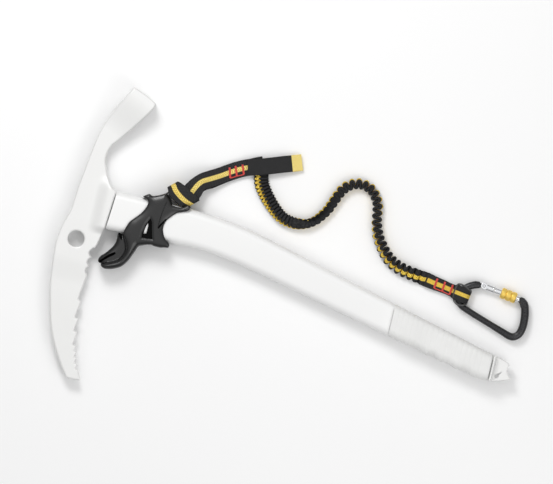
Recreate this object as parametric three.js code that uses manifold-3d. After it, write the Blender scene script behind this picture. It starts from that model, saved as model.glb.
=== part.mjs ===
// A bent-shaft technical ice axe, lying on its side, with a finger rest that slides along the
// shaft and carries an elastic leash and a screw-gate carabiner. Millimetres, +Z up.
// Drawing frame: X runs along the upper shaft from the head hole to the spike, Y towards the
// hammer. The last lines move the drawing frame so the axe stands on the origin.
import * as THREE from 'three';
import { mergeVertices } from 'three/addons/utils/BufferGeometryUtils.js';
import Module from 'manifold-3d';

const wasm = await Module();
wasm.setup();

// Driving dimensions
const GAP = 0.35; // clearance kept between touching pieces
const ROOM = 80; // longer than any hole is deep
const MIDDLE = 14; // height of the axe's middle plane above the ground
const HAMMER_WIDTH = 28; // also the width of the slider and the grip
const SHAFT_WIDTH = 20;
const SHAFT_WALL = 1.6;
const SHAFT_ROUNDING = 8;
const HEAD_WIDTH = 9;
const PICK_WIDTH = 4;
const HEAD_HOLE = { x: 0.7, y: 0.8, radius: 8.6 };
const GRIP_START = 336;
const GRIP_END = 446.5;
const GRIP_WALL = 3; // rubber above and below the shaft
const TANG_END = 80;
const TANG_WIDTH = 8;
const RIVET_RADIUS = 2.5;
const RIVET_HEAD = 4.2;
const CHANNEL = { low: 16.9, high: 58.2, wall: 3.5 }; // the slider's passage for the shaft
const LUG_WIDTH = 10;
const STRAP = { width: 17, thick: 4.6 };
const ELASTIC = { width: 12.4, height: 7 };
const RING_MIDDLE = 6.2; // height of the carabiner's middle plane
const FRAME_BAR = { across: 7.4, deep: 8.4 };
const HINGE = { x: 421, y: 50, turn: -8 }; // gate hinge and the gate's direction in degrees
const GATE_RADIUS = 3.5;
const GATE_LENGTH = 39.1;
const ORIGIN = { x: 225.25, y: 12.6 }; // the axe's centre in the drawing frame

// ---------- helpers ----------

const corners = (points) => points.map(([x, y]) => new THREE.Vector2(x, y));
const curve = (points, steps) => new THREE.SplineCurve(corners(points)).getPoints(steps);
const outline = (...stretches) => stretches.flat().filter((p, i, all) => i === 0 || p.distanceTo(all[i - 1]) > 0.05);

// An outline moved outwards by a distance, or inwards by a negative one.
function grown(points, distance) {
  const turn = THREE.ShapeUtils.isClockWise(points) ? -1 : 1;
  return points.map((point, i) => {
    const before = points[(i + points.length - 1) % points.length];
    const after = points[(i + 1) % points.length];
    const along = after.clone().sub(before).normalize();
    return new THREE.Vector2(point.x + along.y * distance * turn, point.y - along.x * distance * turn);
  });
}

// A flat plate of the given outline between two heights, with its long edges rounded off: rings of
// the outline, drawn in towards both faces, joined by walls and closed by the two faces.
function plate(points, low, high, rounding = 0, steps = 2) {
  const levels = [];
  for (let i = 0; i <= (rounding > 0 ? steps : 0); i += 1) {
    const angle = (i / steps) * (Math.PI / 2);
    levels.push([rounding * (Math.sin(angle) - 1), rounding * (1 - Math.cos(angle))]);
  }
  const rings = [
    ...levels.map(([inset, rise]) => [inset, low + rise]),
    ...levels.map(([inset, rise]) => [inset, high - rise]).reverse(),
  ];
  const positions = rings.flatMap(([inset, height]) => grown(points, inset).flatMap((p) => [p.x, p.y, height]));
  const count = points.length;
  const index = [];
  for (let ring = 0; ring + 1 < rings.length; ring += 1) {
    for (let i = 0; i < count; i += 1) {
      const [a, b] = [ring * count + i, ring * count + ((i + 1) % count)];
      index.push(a, b, b + count, a, b + count, a + count);
    }
  }
  const last = (rings.length - 1) * count;
  const clockwise = THREE.ShapeUtils.isClockWise(points);
  for (const face of THREE.ShapeUtils.triangulateShape(points, [])) {
    const [a, b, c] = clockwise ? [face[2], face[1], face[0]] : face;
    index.push(c, b, a, a + last, b + last, c + last);
  }
  const geometry = new THREE.BufferGeometry();
  geometry.setAttribute('position', new THREE.Float32BufferAttribute(positions, 3));
  geometry.setIndex(index);
  return geometry;
}

// A plate centred on the axe's middle plane.
const midPlate = (points, width, rounding, steps) =>
  plate(points, MIDDLE - width / 2, MIDDLE + width / 2, rounding, steps);

// A turned piece about the X axis, from [along, radius] points.
function turned(profile, segments = 24) {
  const points = profile.map(([along, radius]) => new THREE.Vector2(radius, along));
  return new THREE.LatheGeometry(points, segments).rotateZ(-Math.PI / 2);
}

// A bar of the given section swept along a curve.
function swept(section, points, steps) {
  const path = new THREE.CatmullRomCurve3(points.map((p) => new THREE.Vector3(...p)));
  return new THREE.ExtrudeGeometry(section, { steps, extrudePath: path, bevelEnabled: false });
}

// An oval of straight sides, half its height and half its width: [height, width] order suits
// swept, which turns a section's first axis upright.
function oval(halfHeight, halfWidth, sides) {
  const points = [];
  for (let i = 0; i < sides; i += 1) {
    const angle = ((i + 0.5) / sides) * 2 * Math.PI;
    points.push(new THREE.Vector2(halfHeight * Math.cos(angle), halfWidth * Math.sin(angle)));
  }
  return points;
}

// A flat strap's section, with its four corners cut.
function flatSection(thick, width) {
  const [t, w, cut] = [thick / 2, width / 2, Math.min(thick, width) * 0.25];
  return new THREE.Shape(
    corners([[-t, cut - w], [cut - t, -w], [t - cut, -w], [t, cut - w], [t, w - cut], [t - cut, w], [cut - t, w], [-t, w - cut]]),
  );
}

const box = (low, high) =>
  new THREE.BoxGeometry(high[0] - low[0], high[1] - low[1], high[2] - low[2]).translate(
    (low[0] + high[0]) / 2,
    (low[1] + high[1]) / 2,
    (low[2] + high[2]) / 2,
  );

// An upright round rod between two heights.
const rod = (x, y, radius, low, high, sides = 24) =>
  new THREE.CylinderGeometry(radius, radius, high - low, sides).rotateX(Math.PI / 2).translate(x, y, (low + high) / 2);

// A closed geometry as a solid that can be joined and cut.
function solid(geometry) {
  geometry.deleteAttribute('normal');
  geometry.deleteAttribute('uv');
  const merged = mergeVertices(geometry, 1e-4);
  const triVerts = Uint32Array.from(merged.index.array);
  const vertProperties = Float32Array.from(merged.attributes.position.array);
  const made = new wasm.Manifold(new wasm.Mesh({ numProp: 3, vertProperties, triVerts }));
  if (made.volume() > 0) {
    return made;
  }
  const turnedOver = triVerts.map((_, i) => triVerts[i - (i % 3) + 2 - (i % 3)]);
  return new wasm.Manifold(new wasm.Mesh({ numProp: 3, vertProperties, triVerts: turnedOver }));
}

const join = (...geometries) => geometries.map(solid).reduce((a, b) => a.add(b));
const cut = (from, ...geometries) => geometries.map(solid).reduce((a, b) => a.subtract(b), from);

// A named mesh from a solid or a geometry.
function piece(name, shape, colour, roughness, metalness) {
  const made = shape instanceof THREE.BufferGeometry ? solid(shape) : shape;
  const { vertProperties, triVerts, numProp } = made.getMesh();
  const geometry = new THREE.BufferGeometry();
  const positions = new Float32Array((vertProperties.length / numProp) * 3);
  for (let i = 0; i < positions.length / 3; i += 1) {
    for (let k = 0; k < 3; k += 1) {
      positions[3 * i + k] = vertProperties[numProp * i + k];
    }
  }
  geometry.setAttribute('position', new THREE.BufferAttribute(positions, 3));
  geometry.setIndex(new THREE.BufferAttribute(Uint32Array.from(triVerts), 1));
  geometry.computeVertexNormals();
  const mesh = new THREE.Mesh(geometry, new THREE.MeshStandardMaterial({ color: colour, roughness, metalness }));
  mesh.name = name;
  return mesh;
}

const WHITE_STEEL = 0xe4e4e2;
const WHITE_PAINT = 0xf2f2f0;
const BLACK = 0x1b1b1c;
const SILVER = 0xc4c6ca;
const YELLOW = 0xe8b820;
const RED = 0xd8322c;

// ---------- head ----------

// Each tooth of the pick, front to back: its point, then the root behind it.
const TEETH = [
  [34, -130.5, 31, -129.5],
  [32, -124.5, 28.5, -124],
  [30, -118.5, 27, -118],
  [28.5, -112.5, 25, -112],
  [27, -106.5, 22.5, -106],
  [24.5, -92.5, 20, -92],
  [22.5, -78.5, 18, -78.5],
  [21, -60.5, 17, -59.5],
];

// Three shallow hollows between the last tooth and the head.
function scallops() {
  const points = [];
  const start = -33;
  const pitch = 9.3;
  for (let i = 0; i < 3; i += 1) {
    for (let k = 0; k < 4; k += 1) {
      const turn = (k / 4) * Math.PI;
      points.push(new THREE.Vector2(20.6 - 3.2 * Math.sin(turn), start + pitch * (i + k / 4)));
    }
  }
  return points;
}

const SPINE = [[14, 150], [8, 138], [1, 120], [-3.5, 100], [-7.5, 70], [-10, 50], [-11.5, 30], [-14, 20],
  [-17, 10], [-18.5, 0], [-19, -10], [-17.5, -30], [-15, -50], [-10.5, -70], [-5, -90], [3.5, -110],
  [15.5, -130], [23, -140]];
const THROAT = [[22, 64], [19, 69], [16, 75], [12.5, 84], [11.5, 92], [14, 101.5], [18, 107], [27, 118.5],
  [40, 137], [48, 150]];

function headOutline() {
  const teeth = TEETH.flatMap(([x, y, rootX, rootY]) => corners([[x, y], [rootX, rootY]]));
  return outline(
    corners([[23, 166.5]]),
    curve(SPINE, 28),
    corners([[25, -141.3], [33, -141.3], [38, -140.5], [38.5, -139.5]]),
    teeth,
    scallops(),
    corners([[20, -5], [22.5, -4], [23.5, 0], [27, 17], [30, 58], [26, 59.5]]),
    curve(THROAT, 16),
    corners([[49.5, 154], [48, 155.5], [38, 161], [30, 164]]),
  );
}

// The thick middle of the head, from above the pick's scallops to the hammer's neck.
function headBody() {
  const points = outline(
    curve([[-0.5, 112], [-3.5, 100], [-7.5, 70], [-10, 50], [-11.5, 30], [-14, 20], [-17, 10], [-18.5, 0],
      [-18.6, -12], [-14, -22], [-4, -28], [8, -27], [16, -18], [20, -5]], 24),
    corners([[23.5, 0], [27, 17], [30, 58], [26, 59.5]]),
    curve([[22, 64], [19, 69], [16, 75], [12.5, 84], [11.5, 92], [14, 101.5], [20, 110]], 10),
  );
  return midPlate(points, HEAD_WIDTH, 2.5, 2);
}

// The hammer: flares to its full width at the striking face.
function hammer() {
  const face = outline(
    corners([[23, 166.5]]),
    curve([[14, 150], [8, 138], [1, 120], [-3, 103]], 7),
    curve([[14.5, 101.5], [18, 107], [27, 118.5], [40, 137], [48, 150]], 8),
    corners([[49.5, 154], [48, 155.5], [38, 161], [30, 164]]),
  );
  const [half, neck] = [HAMMER_WIDTH / 2, HEAD_WIDTH / 2 - 0.5];
  const flare = corners([[-10, -neck], [28, -neck], [56, -half], [90, -half], [90, half], [56, half],
    [28, neck], [-10, neck]]);
  const wedge = new THREE.ExtrudeGeometry(new THREE.Shape(flare), { depth: ROOM, bevelEnabled: false })
    .translate(0, 0, -ROOM / 2)
    .rotateX(Math.PI / 2)
    .rotateZ(THREE.MathUtils.degToRad(62))
    .translate(4, 103, MIDDLE);
  return solid(midPlate(face, HAMMER_WIDTH, 1.6, 2)).intersect(solid(wedge));
}

// The shoulder that the shaft butts against, and the tang that goes inside it.
function shoulderAndTang() {
  const shoulder = outline(curve([[17, 56], [12, 38], [15, 19]], 6), corners([[26.8, 17.4], [29.7, 57.6], [22, 58.5]]));
  const tang = grown(corners([[20, 20.5], [TANG_END, 21.5], [TANG_END, 54.5], [20, 55]]), -1.2);
  return join(midPlate(shoulder, SHAFT_WIDTH, 6, 3), midPlate(tang, TANG_WIDTH, 1.5, 2));
}

const HEAD_RIVETS = [[57, 27], [73, 47]];

function head() {
  const { x, y, radius } = HEAD_HOLE;
  const body = join(midPlate(headOutline(), PICK_WIDTH, 0.6, 1), headBody()).add(hammer()).add(shoulderAndTang());
  const bores = HEAD_RIVETS.map(([rx, ry]) => rod(rx, ry, RIVET_RADIUS + GAP, -ROOM, ROOM, 16));
  return piece('head', cut(body, rod(x, y, radius, -ROOM, ROOM, 28), ...bores), WHITE_STEEL, 0.4, 0.6);
}

// ---------- shaft, grip and spike ----------

const SHAFT_TOP = [[108, 57.6], [130, 56.3], [150, 54.2], [170, 51], [190, 46.7], [210, 41.8]];
const SHAFT_FOOT = [[100, 19], [120, 19.2], [140, 18], [160, 15.2], [180, 11.4], [200, 7.4]];
const TOP_SLOPE = -0.2475;
const FOOT_SLOPE = -0.2225;
const topAt = (x) => 41.8 + (x - 210) * TOP_SLOPE;
const footAt = (x) => 7.4 + (x - 200) * FOOT_SLOPE;

// The shaft's side outline from one end to the other, past the bend.
const shaftOutline = (top, foot, end) =>
  outline(
    corners([foot]),
    curve(SHAFT_FOOT, 10),
    corners([[end, footAt(end)], [end, topAt(end)]]),
    curve(SHAFT_TOP, 10).reverse(),
    corners([top]),
  );

function shaft() {
  const end = 441;
  const step = GRIP_START - 4;
  const outer = shaftOutline([30.4, 58], [27.4, 17.1], GRIP_START);
  const core = grown(corners([[step, footAt(step)], [end, footAt(end)], [end, topAt(end)], [step, topAt(step)]]), -GRIP_WALL);
  const whole = shaftOutline([0, 58], [0, 17.1], GRIP_START);
  const bore = grown(whole, -SHAFT_WALL);
  const coreBore = grown(corners([[step - 8, footAt(step - 8)], [end + 20, footAt(end + 20)],
    [end + 20, topAt(end + 20)], [step - 8, topAt(step - 8)]]), -GRIP_WALL - SHAFT_WALL);
  const width = SHAFT_WIDTH - 2 * SHAFT_WALL;
  const tube = join(midPlate(outer, SHAFT_WIDTH, SHAFT_ROUNDING, 4), midPlate(core, SHAFT_WIDTH, SHAFT_ROUNDING, 4));
  const rivets = [...HEAD_RIVETS, SPIKE_RIVET].map(([x, y]) => rod(x, y, RIVET_HEAD + GAP, -ROOM, ROOM, 14));
  return piece(
    'shaft',
    cut(tube, midPlate(bore, width, SHAFT_ROUNDING - SHAFT_WALL, 3), midPlate(coreBore, width, SHAFT_ROUNDING - SHAFT_WALL, 3), ...rivets),
    WHITE_PAINT, 0.35, 0.2,
  );
}

// A rivet with both heads flush with the shaft's sides.
function rivet(name, [x, y]) {
  const half = SHAFT_WIDTH / 2 - 0.1;
  const neck = half - SHAFT_WALL + 0.5;
  const profile = [[-half, 0], [-half, RIVET_HEAD], [-neck, RIVET_HEAD], [-neck, RIVET_RADIUS],
    [neck, RIVET_RADIUS], [neck, RIVET_HEAD], [half, RIVET_HEAD], [half, 0]];
  return piece(name, turned(profile, 14).rotateY(Math.PI / 2).translate(x, y, MIDDLE), WHITE_STEEL, 0.3, 0.8);
}

const GRIP_FOOT = [[355, -26.9], [364, -28], [372, -30.2], [379, -33], [386, -32.3], [394, -36], [403, -36.4],
  [412, -40], [422, -40.4], [430, -43.5], [440, -44.5]];

function grip() {
  const points = outline(
    corners([[GRIP_START + GAP, footAt(GRIP_START)]]),
    curve(GRIP_FOOT, 30),
    corners([[GRIP_END, -44.2], [GRIP_END, topAt(GRIP_END)], [GRIP_START + GAP, topAt(GRIP_START)]]),
  );
  const inside = grown(corners([[GRIP_START - 9, footAt(GRIP_START - 9)], [460, footAt(460)], [460, topAt(460)],
    [GRIP_START - 9, topAt(GRIP_START - 9)]]), GAP - GRIP_WALL);
  const hollow = midPlate(inside, SHAFT_WIDTH + 2 * GAP, SHAFT_ROUNDING, 4);
  return piece('grip', cut(solid(midPlate(points, HAMMER_WIDTH, 9, 4)), hollow), 0xe9e9e7, 0.7, 0);
}

const SPIKE_RIVET = [430, -26.5];

// The spike's plate, the collar that covers the grip's end and the tang inside the shaft.
function spike() {
  const blade = outline(
    corners([[448, -17.2], [460, -20.2], [463, -21.3], [465.3, -23.5], [464.8, -25.5], [464, -28],
      [464.7, -31], [466.5, -33.5], [469.5, -37], [469, -38.5]]),
    curve([[465, -39.7], [460, -41.5], [455, -43], [450, -43.8], [448, -44]], 6),
  );
  const collar = corners([[GRIP_END + GAP, -17], [453, -18.5], [453, -43.2], [GRIP_END + GAP, -44]]);
  const tang = corners([[412, -13.5], [450, -23], [450, -35.5], [412, -27.5]]);
  const tear = outline(corners([[459.5, -31.3]]), curve([[456.9, -36], [456.6, -38.6], [454.8, -39.9],
    [452.9, -38.8], [452.9, -36.8], [454.4, -35.2]], 12));
  const made = join(midPlate(blade, 8, 1.2, 2), midPlate(collar, 22, 1.2, 2), midPlate(tang, TANG_WIDTH, 1.5, 2));
  const [x, y] = SPIKE_RIVET;
  return piece('spike', cut(made, plate(tear, -ROOM, ROOM), rod(x, y, RIVET_RADIUS + GAP, -ROOM, ROOM, 16)),
    WHITE_STEEL, 0.35, 0.8);
}

// ---------- sliding finger rest ----------

// The walls either side of the shaft, the tail below it and the flange of the finger rest.
function wallOutline() {
  return outline(
    curve([[57.5, 59.2], [62, 62.5], [64.5, 63], [68, 61.8], [76, 65.2], [79.5, 67], [83, 64.5], [86.3, 61],
      [88.5, 57.8], [92, 56.6], [99, 56.8], [102.5, 59.3], [105.5, 61.3], [108.2, 59.5], [107.3, 56],
      [105, 54], [100, 52], [95, 49.5], [90, 44], [87, 40], [85.5, 33], [87, 27], [90, 22], [94, 19],
      [96, 16], [95, 13]], 50),
    corners([[90, 12.5], [88, 11.5], [80, 11.5], [78, 12.5], [72, 11], [66, 8.5]]),
    curve([[65, 8], [62, 0], [60, -5], [57, -11], [52, -17], [45, -20.7], [38, -22.6], [34, -22], [31, -19.5]], 14),
    curve([[37, -15.5], [43, -13], [48, -9.5], [51, -5], [52.5, 0], [51.5, 5], [49, 11.5], [46.5, 17.5],
      [47, 21], [50, 30], [55, 36], [60, 42], [63.5, 49], [64.3, 54.5], [62, 57.3]], 24),
  );
}

// The narrower rib that runs down the middle of the finger rest.
const RIB = outline(
  curve([[41.3, 17], [41.5, 8], [40, 3], [37, -2], [33, -7], [29, -11], [27.6, -15.3], [29, -17.8]], 12),
  curve([[34, -18.5], [42, -17.5], [50, -12], [55, -4], [57, 3], [58, 16]], 7),
);

// The eye's lug, thinner than the walls, and the eye itself, which runs down to the shaft.
const LUG = outline(
  curve([[75, 62], [79.5, 67.4], [85, 72], [92, 72], [100, 68.6], [106, 64.5], [108, 60.5], [106.5, 56.6]], 14),
  corners([[76, 57]]),
);
const EYE = curve([[86.5, 65.5], [88, 61], [91.5, 57.9], [97.5, 57.7], [101.5, 59.3], [101, 62], [96, 64.7],
  [90, 67.3], [87.2, 67.3], [86.5, 65.5]], 20).slice(0, -1);
const WINDOW = corners([[69, 32.5], [70.4, 29.5], [70.6, 21.8], [67.4, 20.8], [66.8, 26], [67.8, 31]]);
const WINDOW_RECESS = corners([[70.5, 38], [73.5, 34], [79, 18.6], [66.8, 17.4], [66.4, 25], [67.6, 32]]);
const RECESS_DEPTH = 2;
const PAD = { left: 62, right: 80.5, high: 60.6, halfWidth: 8 };

function sliderBody() {
  const whole = join(
    plate(wallOutline(), 0, HAMMER_WIDTH),
    midPlate(RIB, 17),
    midPlate(LUG, LUG_WIDTH),
  );
  const { low, high, wall } = CHANNEL;
  const groove = outline(curve([[31.5, -13], [36, -7.5], [42, -2.5]], 4), curve([[43.5, -4.5], [38, -10], [33.5, -14.5]], 4));
  return piece(
    'slider_body',
    cut(
      whole,
      box([0, low, wall], [150, high, HAMMER_WIDTH - wall]),
      box([PAD.left, high - 1, MIDDLE - PAD.halfWidth], [PAD.right, PAD.high, MIDDLE + PAD.halfWidth]),
      plate(EYE, -ROOM, ROOM),
      plate(WINDOW, -ROOM, ROOM),
      plate(WINDOW_RECESS, HAMMER_WIDTH - RECESS_DEPTH, ROOM),
      plate(WINDOW_RECESS, -ROOM, RECESS_DEPTH),
      plate(groove, MIDDLE + 6.5, ROOM),
      plate(groove, -ROOM, MIDDLE - 6.5),
    ),
    BLACK, 0.45, 0,
  );
}

const sliderPad = () =>
  piece(
    'slider_pad',
    box([PAD.left + GAP, CHANNEL.high + 0.1, MIDDLE - PAD.halfWidth + GAP],
      [PAD.right - GAP, PAD.high - GAP, MIDDLE + PAD.halfWidth - GAP]),
    0x2a2a2a, 0.9, 0,
  );

// ---------- leash ----------

const HITCH = outline(
  curve([[98, 82], [90, 80.5], [85, 78.5], [80, 75], [79, 72], [80, 69.5], [84, 66.8], [88, 63], [93, 61],
    [98, 59.8], [104, 61.4], [108, 62.3], [113, 66.2], [115.5, 69], [115.6, 72.5]], 24),
);

// The girth hitch: wrapped over both faces of the eye's bar and through the eye.
function hitch() {
  const [low, high] = [5, 23];
  const [lugLow, lugHigh] = [MIDDLE - LUG_WIDTH / 2 - GAP, MIDDLE + LUG_WIDTH / 2 + GAP];
  const aboveShaft = box([0, -100, -ROOM], [200, 58.4, ROOM]);
  const wrap = cut(solid(plate(HITCH, low, high, 1.5, 2)), plate(grown(LUG, 0.5), lugLow, lugHigh));
  const throughEye = solid(plate(grown(EYE, -0.8), low + 1, high - 1)).intersect(solid(plate(HITCH, low, high)));
  return piece('leash_hitch', cut(wrap.add(throughEye), aboveShaft), BLACK, 0.8, 0);
}

// Lifts a piece that was made at height 0 onto a slope. The heights are [distance, height] pairs,
// with the distance measured along a heading in degrees.
function draped(geometry, heading, heights) {
  const turn = THREE.MathUtils.degToRad(heading);
  const slope = curve(heights, 60);
  const position = geometry.attributes.position;
  for (let i = 0; i < position.count; i += 1) {
    const along = position.getX(i) * Math.cos(turn) + position.getY(i) * Math.sin(turn);
    const next = Math.max(1, slope.findIndex((p) => p.x >= along));
    const [a, b] = along > slope[60].x ? [slope[59], slope[60]] : [slope[next - 1], slope[next]];
    const part = THREE.MathUtils.clamp((along - a.x) / (b.x - a.x), 0, 1);
    position.setZ(i, position.getZ(i) + a.y + (b.y - a.y) * part);
  }
  return geometry;
}

const flatRoute = (points) => points.map(([x, y]) => [x, y, 0]);
const STRAP_ROUTE = [[107.5, 78.3], [110, 83.5], [114, 88.3], [121, 92.4], [130, 97.6], [137, 102.2],
  [145, 107.2], [153, 111.4], [160, 114.3]];
const STRAP_HEIGHTS = [[128, 14], [136, 13.6], [144, 11.5], [152, 8], [160, 4.6], [167, 2.9], [174, 2.6], [200, 2.6]];
const strap = () =>
  piece('leash_strap', draped(swept(flatSection(STRAP.thick, STRAP.width), flatRoute(STRAP_ROUTE), 16), 34, STRAP_HEIGHTS),
    BLACK, 0.8, 0);

const LABEL_ROUTE = [[157.5, 113.6], [164, 115.1], [171, 117.2], [179, 120], [190, 124], [200, 127.4], [209.6, 130.8]];
const LABEL_HEIGHTS = [[186, 6.5], [192, 7.6], [198, 8.6], [206, 9], [214, 8.7], [224, 7.2], [234, 5.4], [244, 3.6]];
const label = () =>
  piece('label_tab', draped(swept(flatSection(1.8, 17), flatRoute(LABEL_ROUTE), 12), 19, LABEL_HEIGHTS), BLACK, 0.8, 0);

// Three bar tacks joined by one line of stitching along their lower ends.
function barTacks(name, bars, low, high) {
  const lines = [...bars, [bars[0][1], bars[1][1]], [bars[1][1], bars[2][1]]];
  const strips = lines.map(([[x1, y1], [x2, y2]]) => {
    const length = Math.hypot(x2 - x1, y2 - y1);
    return new THREE.BoxGeometry(length + 1.6, 1.8, high - low)
      .rotateZ(Math.atan2(y2 - y1, x2 - x1))
      .translate((x1 + x2) / 2, (y1 + y2) / 2, (low + high) / 2);
  });
  return piece(name, join(...strips), RED, 0.7, 0);
}
const UPPER_TACKS = [[[137.7, 108.5], [141, 98]], [[143.3, 111.5], [147, 101.5]], [[150, 114.5], [153.8, 104.8]]];
const LOWER_TACKS = [[[372.5, 46.5], [371.2, 36]], [[381, 45], [380, 34.7]], [[389.5, 44], [388.4, 33]]];

// The elastic's route on the ground, from under the label to the sewn end.
const ELASTIC_HEIGHT = 3.7;
const ELASTIC_ROUTE = [[171.5, 116], [171.5, 108], [174, 99.5], [179, 92], [186, 84], [194, 76.5], [201, 71.5],
  [208, 69], [215, 68.3], [222, 69.3], [229, 71.8], [236, 76.5], [241.5, 83], [246, 90], [250, 99.5],
  [254.5, 110], [259, 116.5], [265, 120.8], [272, 123], [279, 122.5], [286, 119.5], [291.5, 113.5],
  [295.3, 106], [296.7, 98], [298.5, 87.5], [302.5, 76], [308, 67], [314, 59.5], [320, 54], [328, 49.5],
  [338, 46.5], [350, 44.6], [361.4, 42.7]].map(([x, y]) => [x, y, ELASTIC_HEIGHT]);

function elasticSleeve() {
  const section = new THREE.Shape(oval(ELASTIC.height / 2, ELASTIC.width / 2, 10));
  section.holes.push(new THREE.Path(oval(ELASTIC.height / 2 - 1.1, ELASTIC.width / 2 - 1.2, 6)));
  return piece('elastic_sleeve', swept(section, ELASTIC_ROUTE, 60), BLACK, 0.8, 0);
}

const elasticCore = () =>
  piece('elastic_core', swept(new THREE.Shape(oval(1.5, 3.6, 6)), ELASTIC_ROUTE, 60), 0xd0c8b0, 0.8, 0);

const FRAME_ROUTE = [[462.3, 44.2], [465.6, 41.4], [468.1, 34.5], [469.4, 26], [469.3, 18], [467.6, 10.8],
  [463.6, 6.3], [458.5, 5.6], [450, 8.2], [430, 14.9], [411, 21.3], [402.5, 25], [398.3, 30], [397.7, 36],
  [400.8, 41.5], [406, 46], [412, 49], [416.9, 50.1]].map(([x, y]) => [x, y, RING_MIDDLE]);

const frameBar = (extra) =>
  swept(flatSection(FRAME_BAR.deep + extra, FRAME_BAR.across + extra), FRAME_ROUTE, 52);

// The flat sewn end and its loop, which the carabiner's small end passes through.
function endStrap() {
  const flat = swept(flatSection(4.4, 14.5), [[361.9, 42.6, 2.7], [376, 40.3, 2.8], [392.5, 37.4, 3.2]], 8);
  const loop = outline(
    curve([[389.5, 32.5], [392, 27.5], [397, 24.2], [402, 24.6], [406.3, 26.5], [407.4, 33], [409.6, 40],
      [404, 44], [397, 46], [391.5, 45.3]], 18),
  );
  return piece('end_strap', cut(join(flat, plate(loop, 0.15, 12.6, 1.2, 2)), frameBar(2 * GAP)), BLACK, 0.8, 0);
}

// A flat rubber band round the neck of the loop.
function keeper() {
  const band = box([386.6, 28.6, 0.1], [388.6, 49, 9]);
  const turn = (geometry) => geometry.translate(-388, -38.3, 0).rotateZ(-0.16).translate(388, 38.3, 0);
  const inside = box([380, 30.4, 0.35], [395, 46.4, 7.4]);
  return piece('keeper_ring', cut(solid(turn(band)), turn(inside)), 0x222222, 0.7, 0);
}

// ---------- carabiner ----------

// A point given along and across the gate, in the drawing frame.
function byGate(along, across) {
  const turn = THREE.MathUtils.degToRad(HINGE.turn);
  return [
    HINGE.x + along * Math.cos(turn) - across * Math.sin(turn),
    HINGE.y + along * Math.sin(turn) + across * Math.cos(turn),
  ];
}
const byGatePoints = (points) => corners(points.map(([along, across]) => byGate(along, across)));
const onGate = (geometry) =>
  geometry.rotateZ(THREE.MathUtils.degToRad(HINGE.turn)).translate(HINGE.x, HINGE.y, RING_MIDDLE);
const ringPlate = (points, width, rounding) =>
  plate(points, RING_MIDDLE - width / 2, RING_MIDDLE + width / 2, rounding, 2);

function carabinerFrame() {
  const nose = corners([[460.4, 41.6], [463, 36], [468, 36], [468, 44], [462.6, 47.4], [460.7, 47.7]]);
  const stub = onGate(turned([[GATE_LENGTH + GAP, 0], [GATE_LENGTH + GAP, 3.3], [44, 3.3], [44, 0]], 20));
  const hook = byGatePoints([[41, -0.6], [41, 2.6], [36, 2.6], [36, -0.6]]);
  const tongue = corners([[412, 47.5], [421, 47.4], [421, 52.6], [412, 51.5]]);
  const made = join(frameBar(0), ringPlate(nose, 6.6, 0.8), stub, ringPlate(hook, 1.8, 0), ringPlate(tongue, 2.4, 0),
    rod(HINGE.x, HINGE.y, 2.8, RING_MIDDLE - 1.2, RING_MIDDLE + 1.2, 20));
  return piece('carabiner_frame', cut(made, rod(HINGE.x, HINGE.y, 1.1 + GAP, -ROOM, ROOM, 16)), 0x2b2b2c, 0.35, 0.6);
}

function gate() {
  const tube = onGate(turned([[0, 0], [0, GATE_RADIUS], [10.4, GATE_RADIUS], [10.4, 4.1], [11.6, 4.1],
    [11.6, GATE_RADIUS], [GATE_LENGTH, GATE_RADIUS], [GATE_LENGTH, 0]], 20));
  const end = rod(HINGE.x, HINGE.y, GATE_RADIUS, RING_MIDDLE - 2.9, RING_MIDDLE + 2.9, 20);
  const hingeSlot = byGatePoints([[-6, -6], [-6, 6], [3.4, 6], [3.4, -6]]);
  const noseSlot = byGatePoints([[35, -6], [35, 6], [42, 6], [42, -6]]);
  const springBore = onGate(turned([[2, 0], [2, 2.2], [17, 2.2], [17, 0]], 16));
  const [pinX, pinY] = byGate(37.4, -1.7);
  return piece(
    'gate',
    cut(
      join(tube, end),
      ringPlate(hingeSlot, 3, 0),
      ringPlate(noseSlot, 2.5, 0),
      springBore,
      rod(HINGE.x, HINGE.y, 1.1 + GAP, -ROOM, ROOM, 16),
      rod(pinX, pinY, 0.6 + GAP, -ROOM, ROOM, 12),
    ),
    SILVER, 0.2, 1,
  );
}

const hingePin = () =>
  piece('gate_hinge_pin', rod(HINGE.x, HINGE.y, 1.1, RING_MIDDLE - 3.3, RING_MIDDLE + 3.3, 16), SILVER, 0.25, 1);

function latchPin() {
  const [x, y] = byGate(37.4, -1.7);
  return piece('gate_latch_pin', rod(x, y, 0.6, RING_MIDDLE - 2.9, RING_MIDDLE + 2.9, 12), SILVER, 0.25, 1);
}

// A coil spring in the gate's bore.
function gateSpring() {
  const points = [];
  const turns = 5;
  for (let i = 0; i <= turns * 8; i += 1) {
    const angle = (i / 8) * 2 * Math.PI;
    points.push([6.6 + (i / (turns * 8)) * 9.6, 1.5 * Math.cos(angle), 1.5 * Math.sin(angle)]);
  }
  return piece('gate_spring', onGate(swept(new THREE.Shape(oval(0.3, 0.3, 6)), points, turns * 8)), SILVER, 0.3, 1);
}

const gatePlunger = () =>
  piece(
    'gate_plunger',
    onGate(turned([[3.2, 0], [3.4, 0.9], [4.4, 1.7], [6, 1.7], [6, 0]], 14)),
    SILVER, 0.3, 1,
  );

// The locking sleeve: three bands between two grooves.
function screwSleeve() {
  const [start, end, bore, outer] = [18.7, 35.3, 3.9, 5.75];
  const band = (end - start) / 3;
  const profile = [[start, bore], [start, outer - 0.6], [start + 0.7, outer]];
  for (let i = 1; i < 3; i += 1) {
    const groove = start + band * i;
    profile.push([groove - 0.6, outer], [groove - 0.3, outer - 0.6], [groove + 0.3, outer - 0.6], [groove + 0.6, outer]);
  }
  profile.push([end - 0.7, outer], [end, outer - 0.6], [end, bore], [start, bore]);
  return piece('screw_sleeve', onGate(turned(profile, 24)), YELLOW, 0.35, 0.7);
}

// ---------- the assembly ----------

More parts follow.
